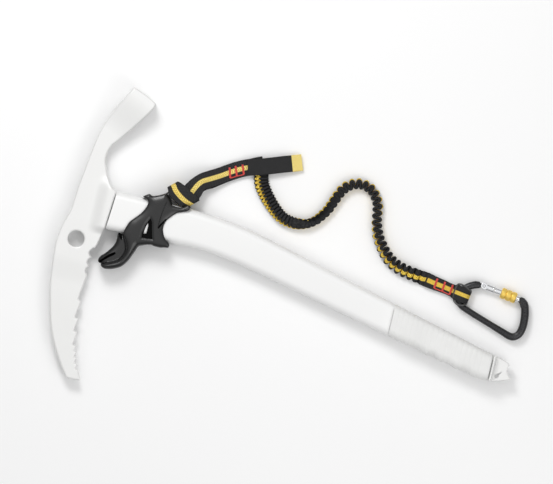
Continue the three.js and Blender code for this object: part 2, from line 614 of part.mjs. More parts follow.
const axe = new THREE.Group();
axe.add(head(), shaft(), grip(), spike());
HEAD_RIVETS.forEach((place, i) => axe.add(rivet(`head_rivet_${i + 1}`, place)));
axe.add(rivet('spike_rivet', SPIKE_RIVET));

const slider = new THREE.Group();
slider.add(sliderBody(), sliderPad());

const leash = new THREE.Group();
leash.add(hitch(), strap(), label(), barTacks('upper_bar_tacks', UPPER_TACKS, 5.3, 6.1));
leash.add(elasticSleeve(), elasticCore(), endStrap(), barTacks('lower_bar_tacks', LOWER_TACKS, 5.6, 6.4), keeper());

const carabiner = new THREE.Group();
carabiner.add(carabinerFrame(), gate(), hingePin(), latchPin(), gateSpring(), gatePlunger(), screwSleeve());

const iceAxe = new THREE.Group();
iceAxe.add(axe, slider, leash, carabiner);
iceAxe.position.set(-ORIGIN.x, -ORIGIN.y, 0);

export default iceAxe;
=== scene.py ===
"""The looks of a bent-shaft ice axe with a sliding finger rest, an elastic leash and a carabiner.

Places are written in the axe's drawing frame, in millimetres: X along the upper shaft from the
head hole to the spike, Y towards the hammer, Z up from the ground. at() moves them to the row
frame, in metres.
"""
import math

import bmesh
import bpy
import numpy as np
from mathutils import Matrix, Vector


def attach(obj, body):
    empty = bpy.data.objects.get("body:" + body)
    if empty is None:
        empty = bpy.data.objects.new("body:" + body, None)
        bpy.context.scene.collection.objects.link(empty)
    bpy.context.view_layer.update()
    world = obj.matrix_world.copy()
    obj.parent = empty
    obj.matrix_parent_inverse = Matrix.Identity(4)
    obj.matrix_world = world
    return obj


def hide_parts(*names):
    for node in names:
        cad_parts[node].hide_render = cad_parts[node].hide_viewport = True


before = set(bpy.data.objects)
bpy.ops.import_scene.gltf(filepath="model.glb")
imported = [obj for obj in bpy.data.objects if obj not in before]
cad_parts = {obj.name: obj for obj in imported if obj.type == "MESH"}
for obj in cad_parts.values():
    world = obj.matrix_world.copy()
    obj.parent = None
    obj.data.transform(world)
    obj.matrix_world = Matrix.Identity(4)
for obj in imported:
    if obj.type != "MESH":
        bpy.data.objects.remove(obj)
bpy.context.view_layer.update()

MM = 0.001
DRAWING_CENTRE = (225.25, 12.6)
MIDDLE = 14.0
WIDTH = 28.0
SHAFT_WIDTH = 20.0
RING_MIDDLE = 6.2
BELOW, ABOVE = -5.0, 40.0
GROUND_GAP = 0.2
FLOOR_GAP = 0.08
VIEW_CENTRE = (202.4, 44.9)
VIEW_HEIGHT = 4000.0
VIEW_WIDTH = 0.5696
VIEW_ROLL = 13.3


def at(x, y, z):
    """A place in the drawing frame, as a point in the row frame."""
    return Vector(((x - DRAWING_CENTRE[0]) * MM, (y - DRAWING_CENTRE[1]) * MM, z * MM))


# ---------- camera ----------

def make_camera():
    """An upright orthographic view, turned as the photo is."""
    data = bpy.data.cameras.new("camera")
    data.type = "ORTHO"
    data.ortho_scale = VIEW_WIDTH
    data.clip_end = 20
    camera = bpy.data.objects.new("camera", data)
    camera.location = at(*VIEW_CENTRE, VIEW_HEIGHT)
    camera.rotation_euler = (0, 0, math.radians(VIEW_ROLL))
    bpy.context.scene.collection.objects.link(camera)
    bpy.context.scene.camera = camera


# ---------- shape helpers ----------

def spline(points, steps, closed=False):
    """A smooth curve through points, with this many steps in each stretch."""
    p = np.array(points, float)
    n = len(p)
    line = []
    for i in range(n if closed else n - 1):
        near = (i - 1, i, i + 1, i + 2)
        a, b, c, d = (p[j % n] if closed else p[min(max(j, 0), n - 1)] for j in near)
        for k in range(steps):
            t = k / steps
            curve = (2 * a - 5 * b + 4 * c - d) * t * t + (3 * b - a - 3 * c + d) * t ** 3
            line.append(0.5 * (2 * b + (c - a) * t + curve))
    if not closed:
        line.append(p[-1])
    return np.array(line)


def run_of(line):
    """The distance along a line at each of its points."""
    return np.concatenate([[0], np.cumsum(np.linalg.norm(np.diff(line, axis=0), axis=1))])


def even(line, spacing):
    """The same line with evenly spaced points, and the distance along it at each."""
    run = run_of(line)
    wanted = np.linspace(0, run[-1], max(2, round(run[-1] / spacing) + 1))
    points = np.stack([np.interp(wanted, run, line[:, k]) for k in range(line.shape[1])], axis=1)
    return points, wanted


def outline(*stretches):
    """One closed outline from stretches of points, without repeated points."""
    joined = np.concatenate([np.array(s, float) for s in stretches])
    keep = [i for i in range(len(joined)) if np.linalg.norm(joined[i] - joined[i - 1]) > 0.05]
    return joined[keep]


def add_piece(name, mesh, material, body, replaced=()):
    """A piece of the object, with its body and the CAD nodes it stands for."""
    piece = placed(name, mesh)
    for one in material if isinstance(material, list) else [material]:
        mesh.materials.append(one)
    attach(piece, body)
    if replaced:
        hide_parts(*replaced)
    return piece


def webbing_piece(name, mesh, look, replaced=()):
    """A piece of the leash, which rides on the slider."""
    return add_piece(name, mesh, looks[look], "slider", replaced)


def shade(mesh, angle=40):
    mesh.shade_smooth()
    mesh.set_sharp_from_angle(angle=math.radians(angle))


def face_out(mesh, weld=False):
    """Turns a mesh's faces outwards, and joins its repeated points where asked."""
    made = bmesh.new()
    made.from_mesh(mesh)
    if weld:
        bmesh.ops.remove_doubles(made, verts=made.verts, dist=1e-7)
    bmesh.ops.recalc_face_normals(made, faces=made.faces)
    made.to_mesh(mesh)
    made.free()


def apply_modifiers(piece):
    """Bakes a piece's modifiers into its mesh."""
    graph = bpy.context.evaluated_depsgraph_get()
    mesh = bpy.data.meshes.new_from_object(piece.evaluated_get(graph))
    old = piece.data
    piece.modifiers.clear()
    piece.data = mesh
    bpy.data.meshes.remove(old)


def loose(name, vertices, faces, weld=False):
    """A helper object that isn't kept: a cutter, or a part of a piece."""
    mesh = bpy.data.meshes.new(name)
    mesh.from_pydata([at(*v) for v in vertices], [], faces)
    face_out(mesh, weld)
    return placed(name, mesh)


def placed(name, mesh):
    """A mesh as an object in the scene."""
    thing = bpy.data.objects.new(name, mesh)
    bpy.context.scene.collection.objects.link(thing)
    return thing


def rings_faces(rings, count, capped=True):
    """The faces between rings of this many points, and over the two ends."""
    faces = []
    for ring in range(rings - 1):
        for i in range(count):
            a, b = ring * count + i, ring * count + (i + 1) % count
            faces.append((a, b, b + count, a + count))
    if capped:
        last = (rings - 1) * count
        faces.append(tuple(range(count))[::-1])
        faces.append(tuple(range(last, last + count)))
    return faces


def grown(points, distance):
    """An outline moved outwards by a distance, or inwards by a negative one."""
    along = np.roll(points, -1, axis=0) - np.roll(points, 1, axis=0)
    along /= np.linalg.norm(along, axis=1)[:, None]
    area = np.sum(points[:, 0] * np.roll(points[:, 1], -1) - np.roll(points[:, 0], -1) * points[:, 1])
    side = math.copysign(1, area)
    return points + np.stack([along[:, 1], -along[:, 0]], axis=1) * distance * side


def plate(name, points, low, high, rounding=0.0, steps=6):
    """A flat plate of an outline, with its long edges rounded."""
    levels = [(0.0, 0.0)]
    if rounding:
        turns = [i / steps * math.pi / 2 for i in range(steps + 1)]
        levels = [(rounding * (math.sin(a) - 1), rounding * (1 - math.cos(a))) for a in turns]
    rings = [(inset, low + rise) for inset, rise in levels]
    rings += [(inset, high - rise) for inset, rise in reversed(levels)]
    vertices = []
    for inset, height in rings:
        vertices += [(x, y, height) for x, y in grown(points, inset)]
    return loose(name, vertices, rings_faces(len(rings), len(points)))


def rounded_section(half_a, half_b, radius, steps=8):
    """Points round a rectangle with round corners."""
    points = []
    for quarter in range(4):
        middle_a = (half_a - radius) * (1, -1, -1, 1)[quarter]
        middle_b = (half_b - radius) * (1, 1, -1, -1)[quarter]
        for k in range(steps + 1):
            turn = (quarter + k / steps) * math.pi / 2
            points.append((middle_a + radius * math.cos(turn), middle_b + radius * math.sin(turn)))
    return points


def loft(name, stations, half_width, radius):
    """A tube along X through (x, foot, top, lean, inset) stations, closed at both ends. Its sections
    lie across the drawing, leaning forwards at the top by lean and drawn in by inset."""
    vertices = []
    for x, foot, top, lean, inset in stations:
        half = (top - foot) / 2
        for a, b in rounded_section(half - inset, half_width - inset, radius - inset):
            vertices.append((x + lean * a / half, foot + half + a, MIDDLE + b))
    return loose(name, vertices, rings_faces(len(stations), len(vertices) // len(stations)))


def spots_of(mesh):
    """A mesh's vertices, in the drawing frame."""
    spots = np.empty(len(mesh.vertices) * 3)
    mesh.vertices.foreach_get("co", spots)
    return spots.reshape(-1, 3) / MM + np.array((*DRAWING_CENTRE, 0))


def put_spots(mesh, spots):
    mesh.vertices.foreach_set("co", ((spots - np.array((*DRAWING_CENTRE, 0))) * MM).ravel())
    mesh.update()


def distance_to(points, x, y):
    """How far places in plan are from a closed outline."""
    nearest = np.full(len(x), np.inf)
    for (ax, ay), (bx, by) in zip(points, np.roll(points, -1, axis=0)):
        size = (bx - ax) ** 2 + (by - ay) ** 2
        t = np.clip(((x - ax) * (bx - ax) + (y - ay) * (by - ay)) / size, 0, 1)
        nearest = np.minimum(nearest, np.hypot(x - ax - t * (bx - ax), y - ay - t * (by - ay)))
    return nearest


def smooth_step(value, low, high):
    t = np.clip((value - low) / (high - low), 0, 1)
    return t * t * (3 - 2 * t)


def bulge(distance, reach):
    """0 at an edge and 1 past its reach, rising as a quarter circle."""
    t = np.clip(distance / reach, 0, 1)
    return np.sqrt(1 - (1 - t) ** 2)


def turned(name, profile, start, direction, sides=48):
    """A round piece turned about a line, from (along, radius) points that start and end on it."""
    direction = Vector(direction).normalized()
    across = Vector((0, 0, 1)).cross(direction)
    if across.length < 0.01:
        across = Vector((1, 0, 0))
    across.normalize()
    up = direction.cross(across)
    vertices = []
    for along, radius in profile:
        for k in range(sides):
            turn = 2 * math.pi * k / sides
            offset = direction * along + (across * math.cos(turn) + up * math.sin(turn)) * radius
            vertices.append(tuple(Vector(start) + offset))
    return loose(name, vertices, rings_faces(len(profile), sides, capped=False), weld=True)


def join(things):
    """Several helper objects as one mesh in the first of them."""
    first = things[0]
    made = bmesh.new()
    for thing in things:
        made.from_mesh(thing.data)
    made.to_mesh(first.data)
    made.free()
    for thing in things[1:]:
        bpy.data.objects.remove(thing)
    return first


def cut(thing, cutters):
    """Takes the cutters out of a thing, and removes them."""
    for cutter in cutters:
        modifier = thing.modifiers.new("cut", "BOOLEAN")
        modifier.operation = "DIFFERENCE"
        modifier.solver = "EXACT"
        modifier.object = cutter
        apply_modifiers(thing)
        bpy.data.objects.remove(cutter)
    return thing


def melt(thing, voxel, rounds):
    """Fuses a thing's shells into one skin and softens it, as a mould or a forging would."""
    remesh = thing.modifiers.new("fuse", "REMESH")
    remesh.mode = "VOXEL"
    remesh.voxel_size = voxel * MM
    if rounds:
        soften = thing.modifiers.new("soften", "SMOOTH")
        soften.factor = 0.5
        soften.iterations = rounds
    apply_modifiers(thing)
    return thing


def finish_piece(thing, name, material, body, replaced=(), angle=40):
    """Turns a helper object into a piece of the object."""
    mesh = thing.data
    bpy.data.objects.remove(thing)
    mesh.materials.clear()
    spots = spots_of(mesh)
    spots[:, 2] = np.maximum(spots[:, 2], FLOOR_GAP)
    put_spots(mesh, spots)
    shade(mesh, angle)
    return add_piece(name, mesh, material, body, replaced)


def oval_section(half_width, half_height, count, power):
    """Points round a soft rectangle from the middle of its underside, and the way round it."""
    fine = np.linspace(-math.pi / 2, 1.5 * math.pi, 361)  # one point for each degree
    c, s = np.cos(fine), np.sin(fine)
    loop = np.stack([half_width * np.sign(c) * np.abs(c) ** (2 / power),
                     half_height * np.sign(s) * np.abs(s) ** (2 / power)], axis=1)
    run = run_of(loop)
    wanted = np.linspace(0, run[-1], count + 1)[:-1]
    points = np.stack([np.interp(wanted, run, loop[:, k]) for k in range(2)], axis=1)
    return points, wanted, run[-1]


FAR_FROM_STRIPE = 99.0  # a place in the weave map that no stripe reaches, in millimetres
SOFT_EDGE = 60  # corners up to this many degrees stay smooth


def sweep(line, section, across=None, closed=False, twist=None, two_faced=False):
    """A woven or moulded length along a line. section(i) gives its outline at each point, the way
    round it and the whole way round; across is the direction of its width, if it isn't level. The
    mesh keeps a weave map in millimetres: U is the way round from the stripe's middle, or from the
    nearer of two on opposite faces, and V is the way along."""
    ahead = np.gradient(line, axis=0)
    if closed:
        ahead = np.roll(line, -1, axis=0) - np.roll(line, 1, axis=0)
    ahead /= np.linalg.norm(ahead, axis=1)[:, None]
    run = run_of(line)
    vertices, ways, rounds = [], [], []
    for i, (place, direction) in enumerate(zip(line, ahead)):
        side = np.cross((0, 0, 1), direction)
        if across is not None:
            side = np.array(across[i] if np.ndim(across) == 2 else across, float)
        side /= np.linalg.norm(side)
        up = np.cross(direction, side)
        up /= np.linalg.norm(up)
        points, way, whole = section(i)
        vertices.append(place + points[:, :1] * side + points[:, 1:] * up)
        shift = 0 if twist is None else twist[i] * whole
        ways.append(way - whole / 2 - shift)
        rounds.append(whole)
    count = len(points)
    vertices = np.concatenate(vertices)
    faces, corners = [], []
    rings = len(line)
    seam_step = 0.5  # from a closed length's last ring to its first
    for i in range(rings if closed else rings - 1):
        n = (i + 1) % rings
        end_run = run[-1] + seam_step if n == 0 and closed else run[n]
        for k in range(count):
            m = (k + 1) % count
            faces.append((i * count + k, i * count + m, n * count + m, n * count + k))
            wrap_i, wrap_n = (rounds[i], rounds[n]) if m == 0 else (0, 0)
            u = [ways[i][k], ways[i][m] + wrap_i, ways[n][m] + wrap_n, ways[n][k]]
            whole = rounds[i]
            lift = round(sum(u) / 4 / whole) * whole
            u = [a - lift for a in u]
            if two_faced:
                u = [min(abs(a), abs(whole / 2 - abs(a))) for a in u]
            corners += list(zip(u, (run[i], run[i], end_run, end_run)))
    if not closed:
        for ring, step in ((0, -1), (rings - 1, 1)):
            faces.append(tuple(range(ring * count, ring * count + count))[::step])
            corners += [(FAR_FROM_STRIPE, run[ring])] * count
    mesh = bpy.data.meshes.new("sweep")
    mesh.from_pydata([at(*v) for v in vertices], [], faces)
    layer = mesh.uv_layers.new(name="weave")
    layer.data.foreach_set("uv", np.array(corners, float).ravel())
    shade(mesh, SOFT_EDGE)
    return mesh


def merge_meshes(meshes):
    """Several meshes with weave maps as one."""
    made = bmesh.new()
    for mesh in meshes:
        made.from_mesh(mesh)
    merged = bpy.data.meshes.new("merged")
    made.to_mesh(merged)
    made.free()
    shade(merged, SOFT_EDGE)
    return merged


# ---------- materials ----------

class Nodes:
    """A short way to write a material's nodes."""

    def __init__(self, name):
        self.material = bpy.data.materials.new(name)
        self.material.use_nodes = True
        self.tree = self.material.node_tree
        self.shader = self.tree.nodes["Principled BSDF"]

    def add(self, kind, settings=None, **inputs):
        node = self.tree.nodes.new(kind)
        for key, value in (settings or {}).items():
            setattr(node, key, value)
        for key, value in inputs.items():
            self.set(node, key.replace("_", " "), value)
        return node

    def set(self, node, key, value):
        socket = node.inputs[int(key)] if key.isdigit() else node.inputs[key]
        if isinstance(value, bpy.types.NodeSocket):
            self.tree.links.new(value, socket)
        else:
            socket.default_value = value

    def math(self, operation, *values):
        node = self.add("ShaderNodeMath", {"operation": operation})
        for i, value in enumerate(values):
            self.set(node, str(i), value)
        return node.outputs[0]

    def times(self, first, second):
        return self.math("MULTIPLY", first, second)

    def plus(self, first, second):
        return self.math("ADD", first, second)

    def noise(self, scale, detail=3.0, vector=None):
        node = self.add("ShaderNodeTexNoise", Scale=scale, Detail=detail)
        place = vector or self.add("ShaderNodeTexCoord").outputs["Object"]
        self.set(node, "Vector", place)
        return node.outputs["Fac"]

    def weave(self):
        """The two ways of a sweep's weave map: round it, and along it."""
        place = self.add("ShaderNodeUVMap", {"uv_map": "weave"}).outputs[0]
        parts = self.add("ShaderNodeSeparateXYZ", Vector=place)
        return parts.outputs[0], parts.outputs[1]

    def ramp(self, value, low, high):
        node = self.add("ShaderNodeMapRange", Value=value)
        node.inputs["To Min"].default_value = low
        node.inputs["To Max"].default_value = high
        return node.outputs["Result"]

    def step(self, value, low, high):
        """0 below low, 1 above high, and a soft edge between."""
        node = self.add("ShaderNodeMapRange", {"interpolation_type": "SMOOTHSTEP"}, Value=value)
        node.inputs["From Min"].default_value = low
        node.inputs["From Max"].default_value = high
        return node.outputs["Result"]

    def mix(self, share, first, second):
        node = self.add("ShaderNodeMix", {"data_type": "RGBA"})
        for key, value in ((0, share), (6, first), (7, second)):
            self.set(node, str(key), value)
        return node.outputs[2]

    def bump(self, height, strength, distance):
        node = self.add("ShaderNodeBump", Strength=strength, Distance=distance, Height=height)
        self.set(self.shader, "Normal", node.outputs[0])

    def look(self, **inputs):
        for key, value in inputs.items():
            self.set(self.shader, key.replace("_", " "), value)
        return self.material


def rgb(red, green, blue):
    return (red, green, blue, 1.0)


def tone(base, share):
    """A colour made darker or lighter."""
    return rgb(*[min(1, c * share) for c in base])


def webbing(name, base, stripe=None, stripe_half=2.3, plain_until=0.0, pitch=1.15, raised_highlight=3.6,
            gathered=False):
    """Woven tape: bands of thread across it, with an optional stripe down its middle. Where it is
    gathered, painted shade darkens the thread in the creases between two puffs."""
    n = Nodes(name)
    u, v = n.weave()
    beside = n.math("ABSOLUTE", u)
    turn = 2 * math.pi / pitch
    rows = n.math("SINE", n.times(v, turn))
    columns = n.math("SINE", n.times(u, turn))
    slant = n.math("SINE", n.plus(n.times(v, turn), n.times(u, turn * 0.5)))
    height = n.plus(n.times(rows, columns), n.times(slant, 0.6))
    height = n.plus(height, n.times(n.noise(900.0, 2.0), 0.8))
    # painted shade and highlight in the weave: the low threads get a darker tone, varied at random, the
    # raised ones a lighter one
    dark = n.mix(n.noise(60.0, 3.0), tone(base, 0.65), tone(base, 1.5))
    colour = n.mix(n.ramp(height, 0.2, 0.8), dark, tone(base, raised_highlight))
    if gathered:
        # painted shade: the thread in the creases between two puffs is drawn darker, as the crease's shadow
        crease_shade = n.add("ShaderNodeAttribute", {"attribute_name": "crease_shade"}).outputs["Fac"]
        colour = n.mix(n.times(crease_shade, 0.8), colour, rgb(0.001, 0.001, 0.001))
    if stripe:
        red, green, blue = stripe
        near = n.math("SUBTRACT", 1.0, n.step(beside, stripe_half - 0.15, stripe_half + 0.15))
        if plain_until:
            near = n.times(near, n.step(v, plain_until - 0.2, plain_until + 0.2))
        # painted shade in the stripe's weave: its low threads are darker and deeper in colour, its raised
        # ones lighter
        deep = rgb(red * 0.78, green * 0.66, blue * 0.45)
        thread = n.mix(n.step(height, -0.5, 0.7), deep, tone(stripe, 1.12))
        knit = n.math("SINE", n.plus(n.times(v, turn * 0.9), n.times(beside, turn * 0.7)))
        gaps = n.times(n.step(knit, 0.2, 0.85), 0.62)
        thread = n.mix(gaps, thread, rgb(red * 0.2, green * 0.17, blue * 0.12))
        if gathered:
            # painted shade in the creases darkens the stripe's thread as well
            thread = n.mix(n.times(crease_shade, 0.45), thread, rgb(0.03, 0.02, 0.006))
        colour = n.mix(near, colour, thread)
    n.bump(height, 0.55, 0.00025)
    return n.look(Base_Color=colour, Roughness=0.85, Specular_IOR_Level=0.06)


def stitching(name, base):
    """Dense satin stitching: fine threads side by side, painted darker between them as shade."""
    n = Nodes(name)
    thread_pitch = 0.42
    threads = n.math("SINE", n.times(n.weave()[1], 2 * math.pi / thread_pitch))
    # painted shade: the thread is darker in the hollows between the threads
    colour = n.mix(n.ramp(threads, 0.35, 0.8), tone(base, 0.55), rgb(*base))
    n.bump(n.plus(threads, n.noise(700.0, 2.0)), 0.6, 0.0002)
    return n.look(Base_Color=colour, Roughness=0.6, Sheen_Weight=0.2)


def moulded_plastic(name, base, roughness, shine):
    """Satin moulded plastic: a fine spark-eroded grain with softer and shinier patches."""
    n = Nodes(name)
    patches = n.noise(55.0, 4.0)
    colour = n.mix(patches, tone(base, 0.8), tone(base, 1.35))
    n.bump(n.plus(n.noise(2600.0, 2.0), n.times(patches, 2.0)), 0.16, 0.0002)
    rough = n.ramp(patches, roughness - 0.05, roughness + 0.07)
    return n.look(Base_Color=colour, Roughness=rough, IOR=1.5, Specular_IOR_Level=shine)


def rubber(name, base, roughness):
    """Moulded rubber: a fine matt grain under faint dust."""
    n = Nodes(name)
    colour = n.mix(n.noise(38.0, 5.0), tone(base, 0.9), tone(base, 1.06))
    n.bump(n.noise(1500.0, 3.0), 0.25, 0.0002)
    return n.look(Base_Color=colour, Roughness=roughness, Sheen_Weight=0.05)


def metal(name, base, roughness, metallic, brushed=0.0, variation=0.1):
    """Worked metal: fine grain, faint cloudiness and, where brushed, long marks along X."""
    n = Nodes(name)
    place = n.add("ShaderNodeTexCoord").outputs["Object"]
    stretched = n.add("ShaderNodeMapping", Vector=place)
    stretched.inputs["Scale"].default_value = (0.05, 1.0, 1.0) if brushed else (1.0, 1.0, 1.0)
    grain = n.noise(900.0, 3.0, stretched.outputs[0])
    colour = n.mix(n.noise(24.0, 4.0), tone(base, 1 - variation), tone(base, 1 + variation))
    n.bump(grain, 0.08 + brushed, 0.0001)
    rough = n.ramp(grain, roughness - 0.04, roughness + 0.06)
    return n.look(Base_Color=colour, Roughness=rough, Metallic=metallic)


def painted(name, base, roughness):
    """Powder-coated or satin-painted metal: faint orange peel under a thin clear coat."""
    n = Nodes(name)
    cloud = n.noise(14.0, 4.0)
    colour = n.mix(cloud, tone(base, 0.975), tone(base, 1.01))
    n.bump(n.noise(420.0, 2.0), 0.05, 0.0002)
    return n.look(Base_Color=colour, Roughness=n.ramp(cloud, roughness - 0.04, roughness + 0.05),
                  Coat_Weight=0.15, Coat_Roughness=0.3)


BLACK_THREAD = (0.0145, 0.0145, 0.015)
looks = {
    "strap": webbing("strap_webbing", BLACK_THREAD, (0.92, 0.74, 0.24), 2.4, pitch=1.9),
    "hitch": webbing("hitch_webbing", BLACK_THREAD, (0.92, 0.71, 0.20), 2.5, pitch=1.9),
    "elastic": webbing("gathered_webbing", (0.0135, 0.0135, 0.014), (0.97, 0.68, 0.115), 2.1, pitch=1.3,
                       gathered=True),
    "end": webbing("end_webbing", BLACK_THREAD, (0.95, 0.65, 0.11), 2.3, plain_until=1.6),
    "loop": webbing("loop_webbing", BLACK_THREAD, (0.95, 0.67, 0.13), 2.0),
    "label": webbing("label_tape", (0.023, 0.023, 0.0235), pitch=0.7, raised_highlight=2.0),
    "label_end": webbing("label_end_tape", (0.86, 0.44, 0.145), pitch=0.7, raised_highlight=2.2),
    "red": stitching("red_thread", (0.97, 0.085, 0.07)),
    "plastic": moulded_plastic("black_moulded_plastic", (0.006, 0.006, 0.0063), 0.27, 0.56),
    # the pocket look is rougher, and its colour is painted darker than the faces' as the shade inside
    # pockets
    "pocket": moulded_plastic("matt_shaded_pocket_plastic", (0.0025, 0.0025, 0.0025), 0.85, 0.1),
    "rubber": rubber("black_rubber", (0.055, 0.055, 0.055), 0.25),
    "frame": metal("black_anodised_alloy", (0.022, 0.022, 0.024), 0.27, 0.35, variation=0.25),
    "silver": metal("polished_alloy", (0.83, 0.84, 0.86), 0.18, 1.0, brushed=0.05),
    "sleeve": metal("yellow_anodised_alloy", (0.86, 0.60, 0.13), 0.36, 0.55, variation=0.08),
    "steel": metal("forged_white_steel", (0.80, 0.80, 0.79), 0.42, 0.15, variation=0.03),
    "paint": painted("white_shaft_paint", (0.86, 0.86, 0.855), 0.36),
    "grip": rubber("pale_grip_rubber", (0.80, 0.80, 0.79), 0.62),
    "rivet": metal("rivet_steel", (0.62, 0.62, 0.63), 0.3, 1.0, brushed=0.1),
}


# ---------- the elastic, a free cord ----------

ELASTIC_ROUTE = [(171.5, 116), (171.5, 108), (174, 99.5), (179, 92), (186, 84), (194, 76.5), (201, 71.5),
                 (208, 69), (215, 68.3), (222, 69.3), (229, 71.8), (236, 76.5), (241.5, 83), (246, 90),
                 (250, 99.5), (254.5, 110), (259, 116.5), (265, 120.8), (272, 123), (279, 122.5),
                 (286, 119.5), (291.5, 113.5), (295.3, 106), (296.7, 98), (298.5, 87.5), (302.5, 76),
                 (308, 67), (314, 59.5), (320, 54), (328, 49.5), (338, 46.5), (350, 44.6), (361.4, 42.7)]
ELASTIC_SIDES = 28
ELASTIC_SPACING = 0.24
PATH_STEP = 14  # the cord's path takes every so many places of the middle line

# How the gathered webbing changes along its way: distance in mm, half width, half thickness, roll
# in degrees (90 stands on its edge), size of the folds, and depth of the creases between puffs.
GATHERS = [(0, 7.3, 2.1, 0, 0.05, 0.04), (9, 7.9, 2.7, 0, 0.05, 0.15), (18, 7.9, 3.5, 4, 0.06, 0.19),
           (34, 7.6, 4.2, 8, 0.08, 0.2), (52, 7.0, 4.6, 10, 0.1, 0.21), (68, 6.5, 4.8, 14, 0.15, 0.21),
           (77, 6.0, 4.9, 45, 0.8, 0.21), (86, 5.2, 4.5, 85, 1.5, 0.2), (94, 4.9, 3.9, 108, 1.8, 0.17),
           (106, 4.6, 3.4, 112, 2.2, 0.12), (120, 4.6, 2.7, 108, 2.9, 0.06), (136, 4.6, 2.0, 104, 3.7, 0.0),
           (152, 4.6, 1.6, 104, 3.9, 0.0), (192, 4.6, 1.5, 100, 3.9, 0.0), (203, 4.8, 1.5, 86, 3.9, 0.0),
           (214, 5.3, 1.5, 72, 3.8, 0.0), (230, 6.1, 1.5, 60, 3.5, 0.0), (246, 6.6, 1.5, 50, 3.3, 0.02),
           (258, 6.9, 1.6, 42, 3.0, 0.05), (268, 7.1, 1.7, 32, 2.6, 0.09), (276, 7.3, 1.9, 20, 2.0, 0.13),
           (282, 7.4, 2.0, 8, 1.0, 0.12), (287, 7.4, 2.1, 0, 0.1, 0.02), (292, 7.4, 2.1, 0, 0.0, 0.0)]
# Where the upper stripe lies: distance in mm, and the part of the way round, to the right, from
# the middle of the webbing's upper face.
STRIPE = [(0, 0.105), (30, 0.11), (52, 0.135), (68, 0.16), (77, 0.13), (86, 0.05), (92, 0), (262, 0.0),
          (280, 0.02), (295, 0.0)]
# How far apart the folds are: distance in mm, and pitch.
FOLD_PITCH = [(0, 3.5), (55, 3.8), (82, 4.5), (100, 5.6), (135, 6.7)]


def at_each(run, table):
    """The columns of a table of (distance, value, ...) rows, at each distance along a run."""
    keys = np.array(table)
    return [np.interp(run, keys[:, 0], keys[:, k]) for k in range(1, keys.shape[1])]


def make_elastic():
    """The gathered webbing: it waves about its route, and its puffs narrow to creases between."""
    middle, run = even(spline([(x, y, 0) for x, y in ELASTIC_ROUTE], 16), ELASTIC_SPACING)
    half_width, half_thick, roll, fold, crease = at_each(run, GATHERS)
    roll = np.radians(roll)
    pitch, = at_each(run, FOLD_PITCH)
    phase = np.concatenate([[0], np.cumsum(np.diff(run) * 2 * math.pi / pitch[1:])])
    ahead = np.gradient(middle, axis=0)
    ahead /= np.linalg.norm(ahead, axis=1)[:, None]
    left = np.stack([-ahead[:, 1], ahead[:, 0], np.zeros(len(run))], axis=1)
    upright = np.array((0.0, 0.0, 1.0))
    across = left * np.cos(roll)[:, None] + upright * np.sin(roll)[:, None]
    outwards = -left * np.sin(roll)[:, None] + upright * np.cos(roll)[:, None]
    height = np.hypot(half_width * np.sin(roll), half_thick * np.cos(roll)) + fold * np.abs(np.cos(roll))
    lean = -0.13 * fold * np.sin(2 * phase)
    line = middle + outwards * (fold * np.sin(phase))[:, None] + ahead * lean[:, None]
    line[:, 2] += height + GROUND_GAP
    sharpness, side_crease, top_crease, full_crease = 1.2, 0.75, 2.4, 0.15
    valley = ((1 - np.sin(phase)) / 2) ** sharpness
    wide_puff = 1 - side_crease * crease * valley
    high_puff = 1 - top_crease * crease * valley
    stripe, = at_each(run, STRIPE)
    twist = stripe + crease * 0.16 * np.sin(phase)

    def section(i):
        return oval_section(half_width[i] * wide_puff[i], half_thick[i] * high_puff[i], ELASTIC_SIDES, 2.5)

    mesh = sweep(line, section, across, twist=twist, two_faced=True)
    # painted shade for the creases: full at a valley once the crease is this deep, read by the elastic's
    # material
    crease_shade = np.repeat(np.minimum(1, crease / full_crease) * valley, ELASTIC_SIDES)
    mesh.attributes.new("crease_shade", "FLOAT", "POINT").data.foreach_set("value", crease_shade)
    piece = webbing_piece("elastic_sleeve_gathered", mesh, "elastic", ["elastic_sleeve", "elastic_core"])
    on_path = zip(middle[::PATH_STEP], height[::PATH_STEP])
    path = [tuple(at(x, y, h + GROUND_GAP)) for (x, y, _), h in on_path]
    return piece, path


# ---------- flat webbing ----------

STRAP_ROUTE = [(104.9, 72.6), (106.9, 77.4), (109.8, 83.2), (114, 88.3), (121, 92.4), (130, 97.6),
               (137, 102.2), (145, 107.2), (153, 111.4), (160, 114.3), (166, 116.7), (171, 118.5)]
STRAP_HEIGHTS = [(126, 15.5), (132, 15.2), (138, 14), (146, 11), (154, 7.4), (161, 4.6), (168, 3.1),
                 (176, 2.7), (200, 2.7)]
LABEL_ROUTE = [(155.9, 112.9), (164, 115.1), (171, 117.2), (179, 120), (190, 124), (200, 127.4),
               (209.2, 130.7)]
LABEL_HEIGHTS = [(186, 6.2), (192, 7.0), (198, 7.4), (206, 7.6), (214, 7.4), (224, 6.6), (234, 5.2),
                 (244, 3.6)]
LABEL_WIDTH = 17.2
BLACK_LABEL_TO, PALE_LABEL_FROM = 46.4, 44.9


def draped(route, heights, heading, spacing):
    """A route in plan, lifted to heights given along a heading in degrees."""
    plan, run = even(spline(route, 12), spacing)
    turn = math.radians(heading)
    along = plan[:, 0] * math.cos(turn) + plan[:, 1] * math.sin(turn)
    slope = spline(heights, 8)
    height = np.interp(along, slope[:, 0], slope[:, 1])
    return np.column_stack([plan, height]), run


def tape(line, width, thick, across=None, closed=False, twist=None):
    """One layer of flat webbing. width may be one number or one for each point."""
    widths = np.broadcast_to(width, len(line))

    def section(i):
        return oval_section(round(float(widths[i]), 2) / 2, thick / 2, 40, 7.0)

    return sweep(line, section, across, closed, twist)


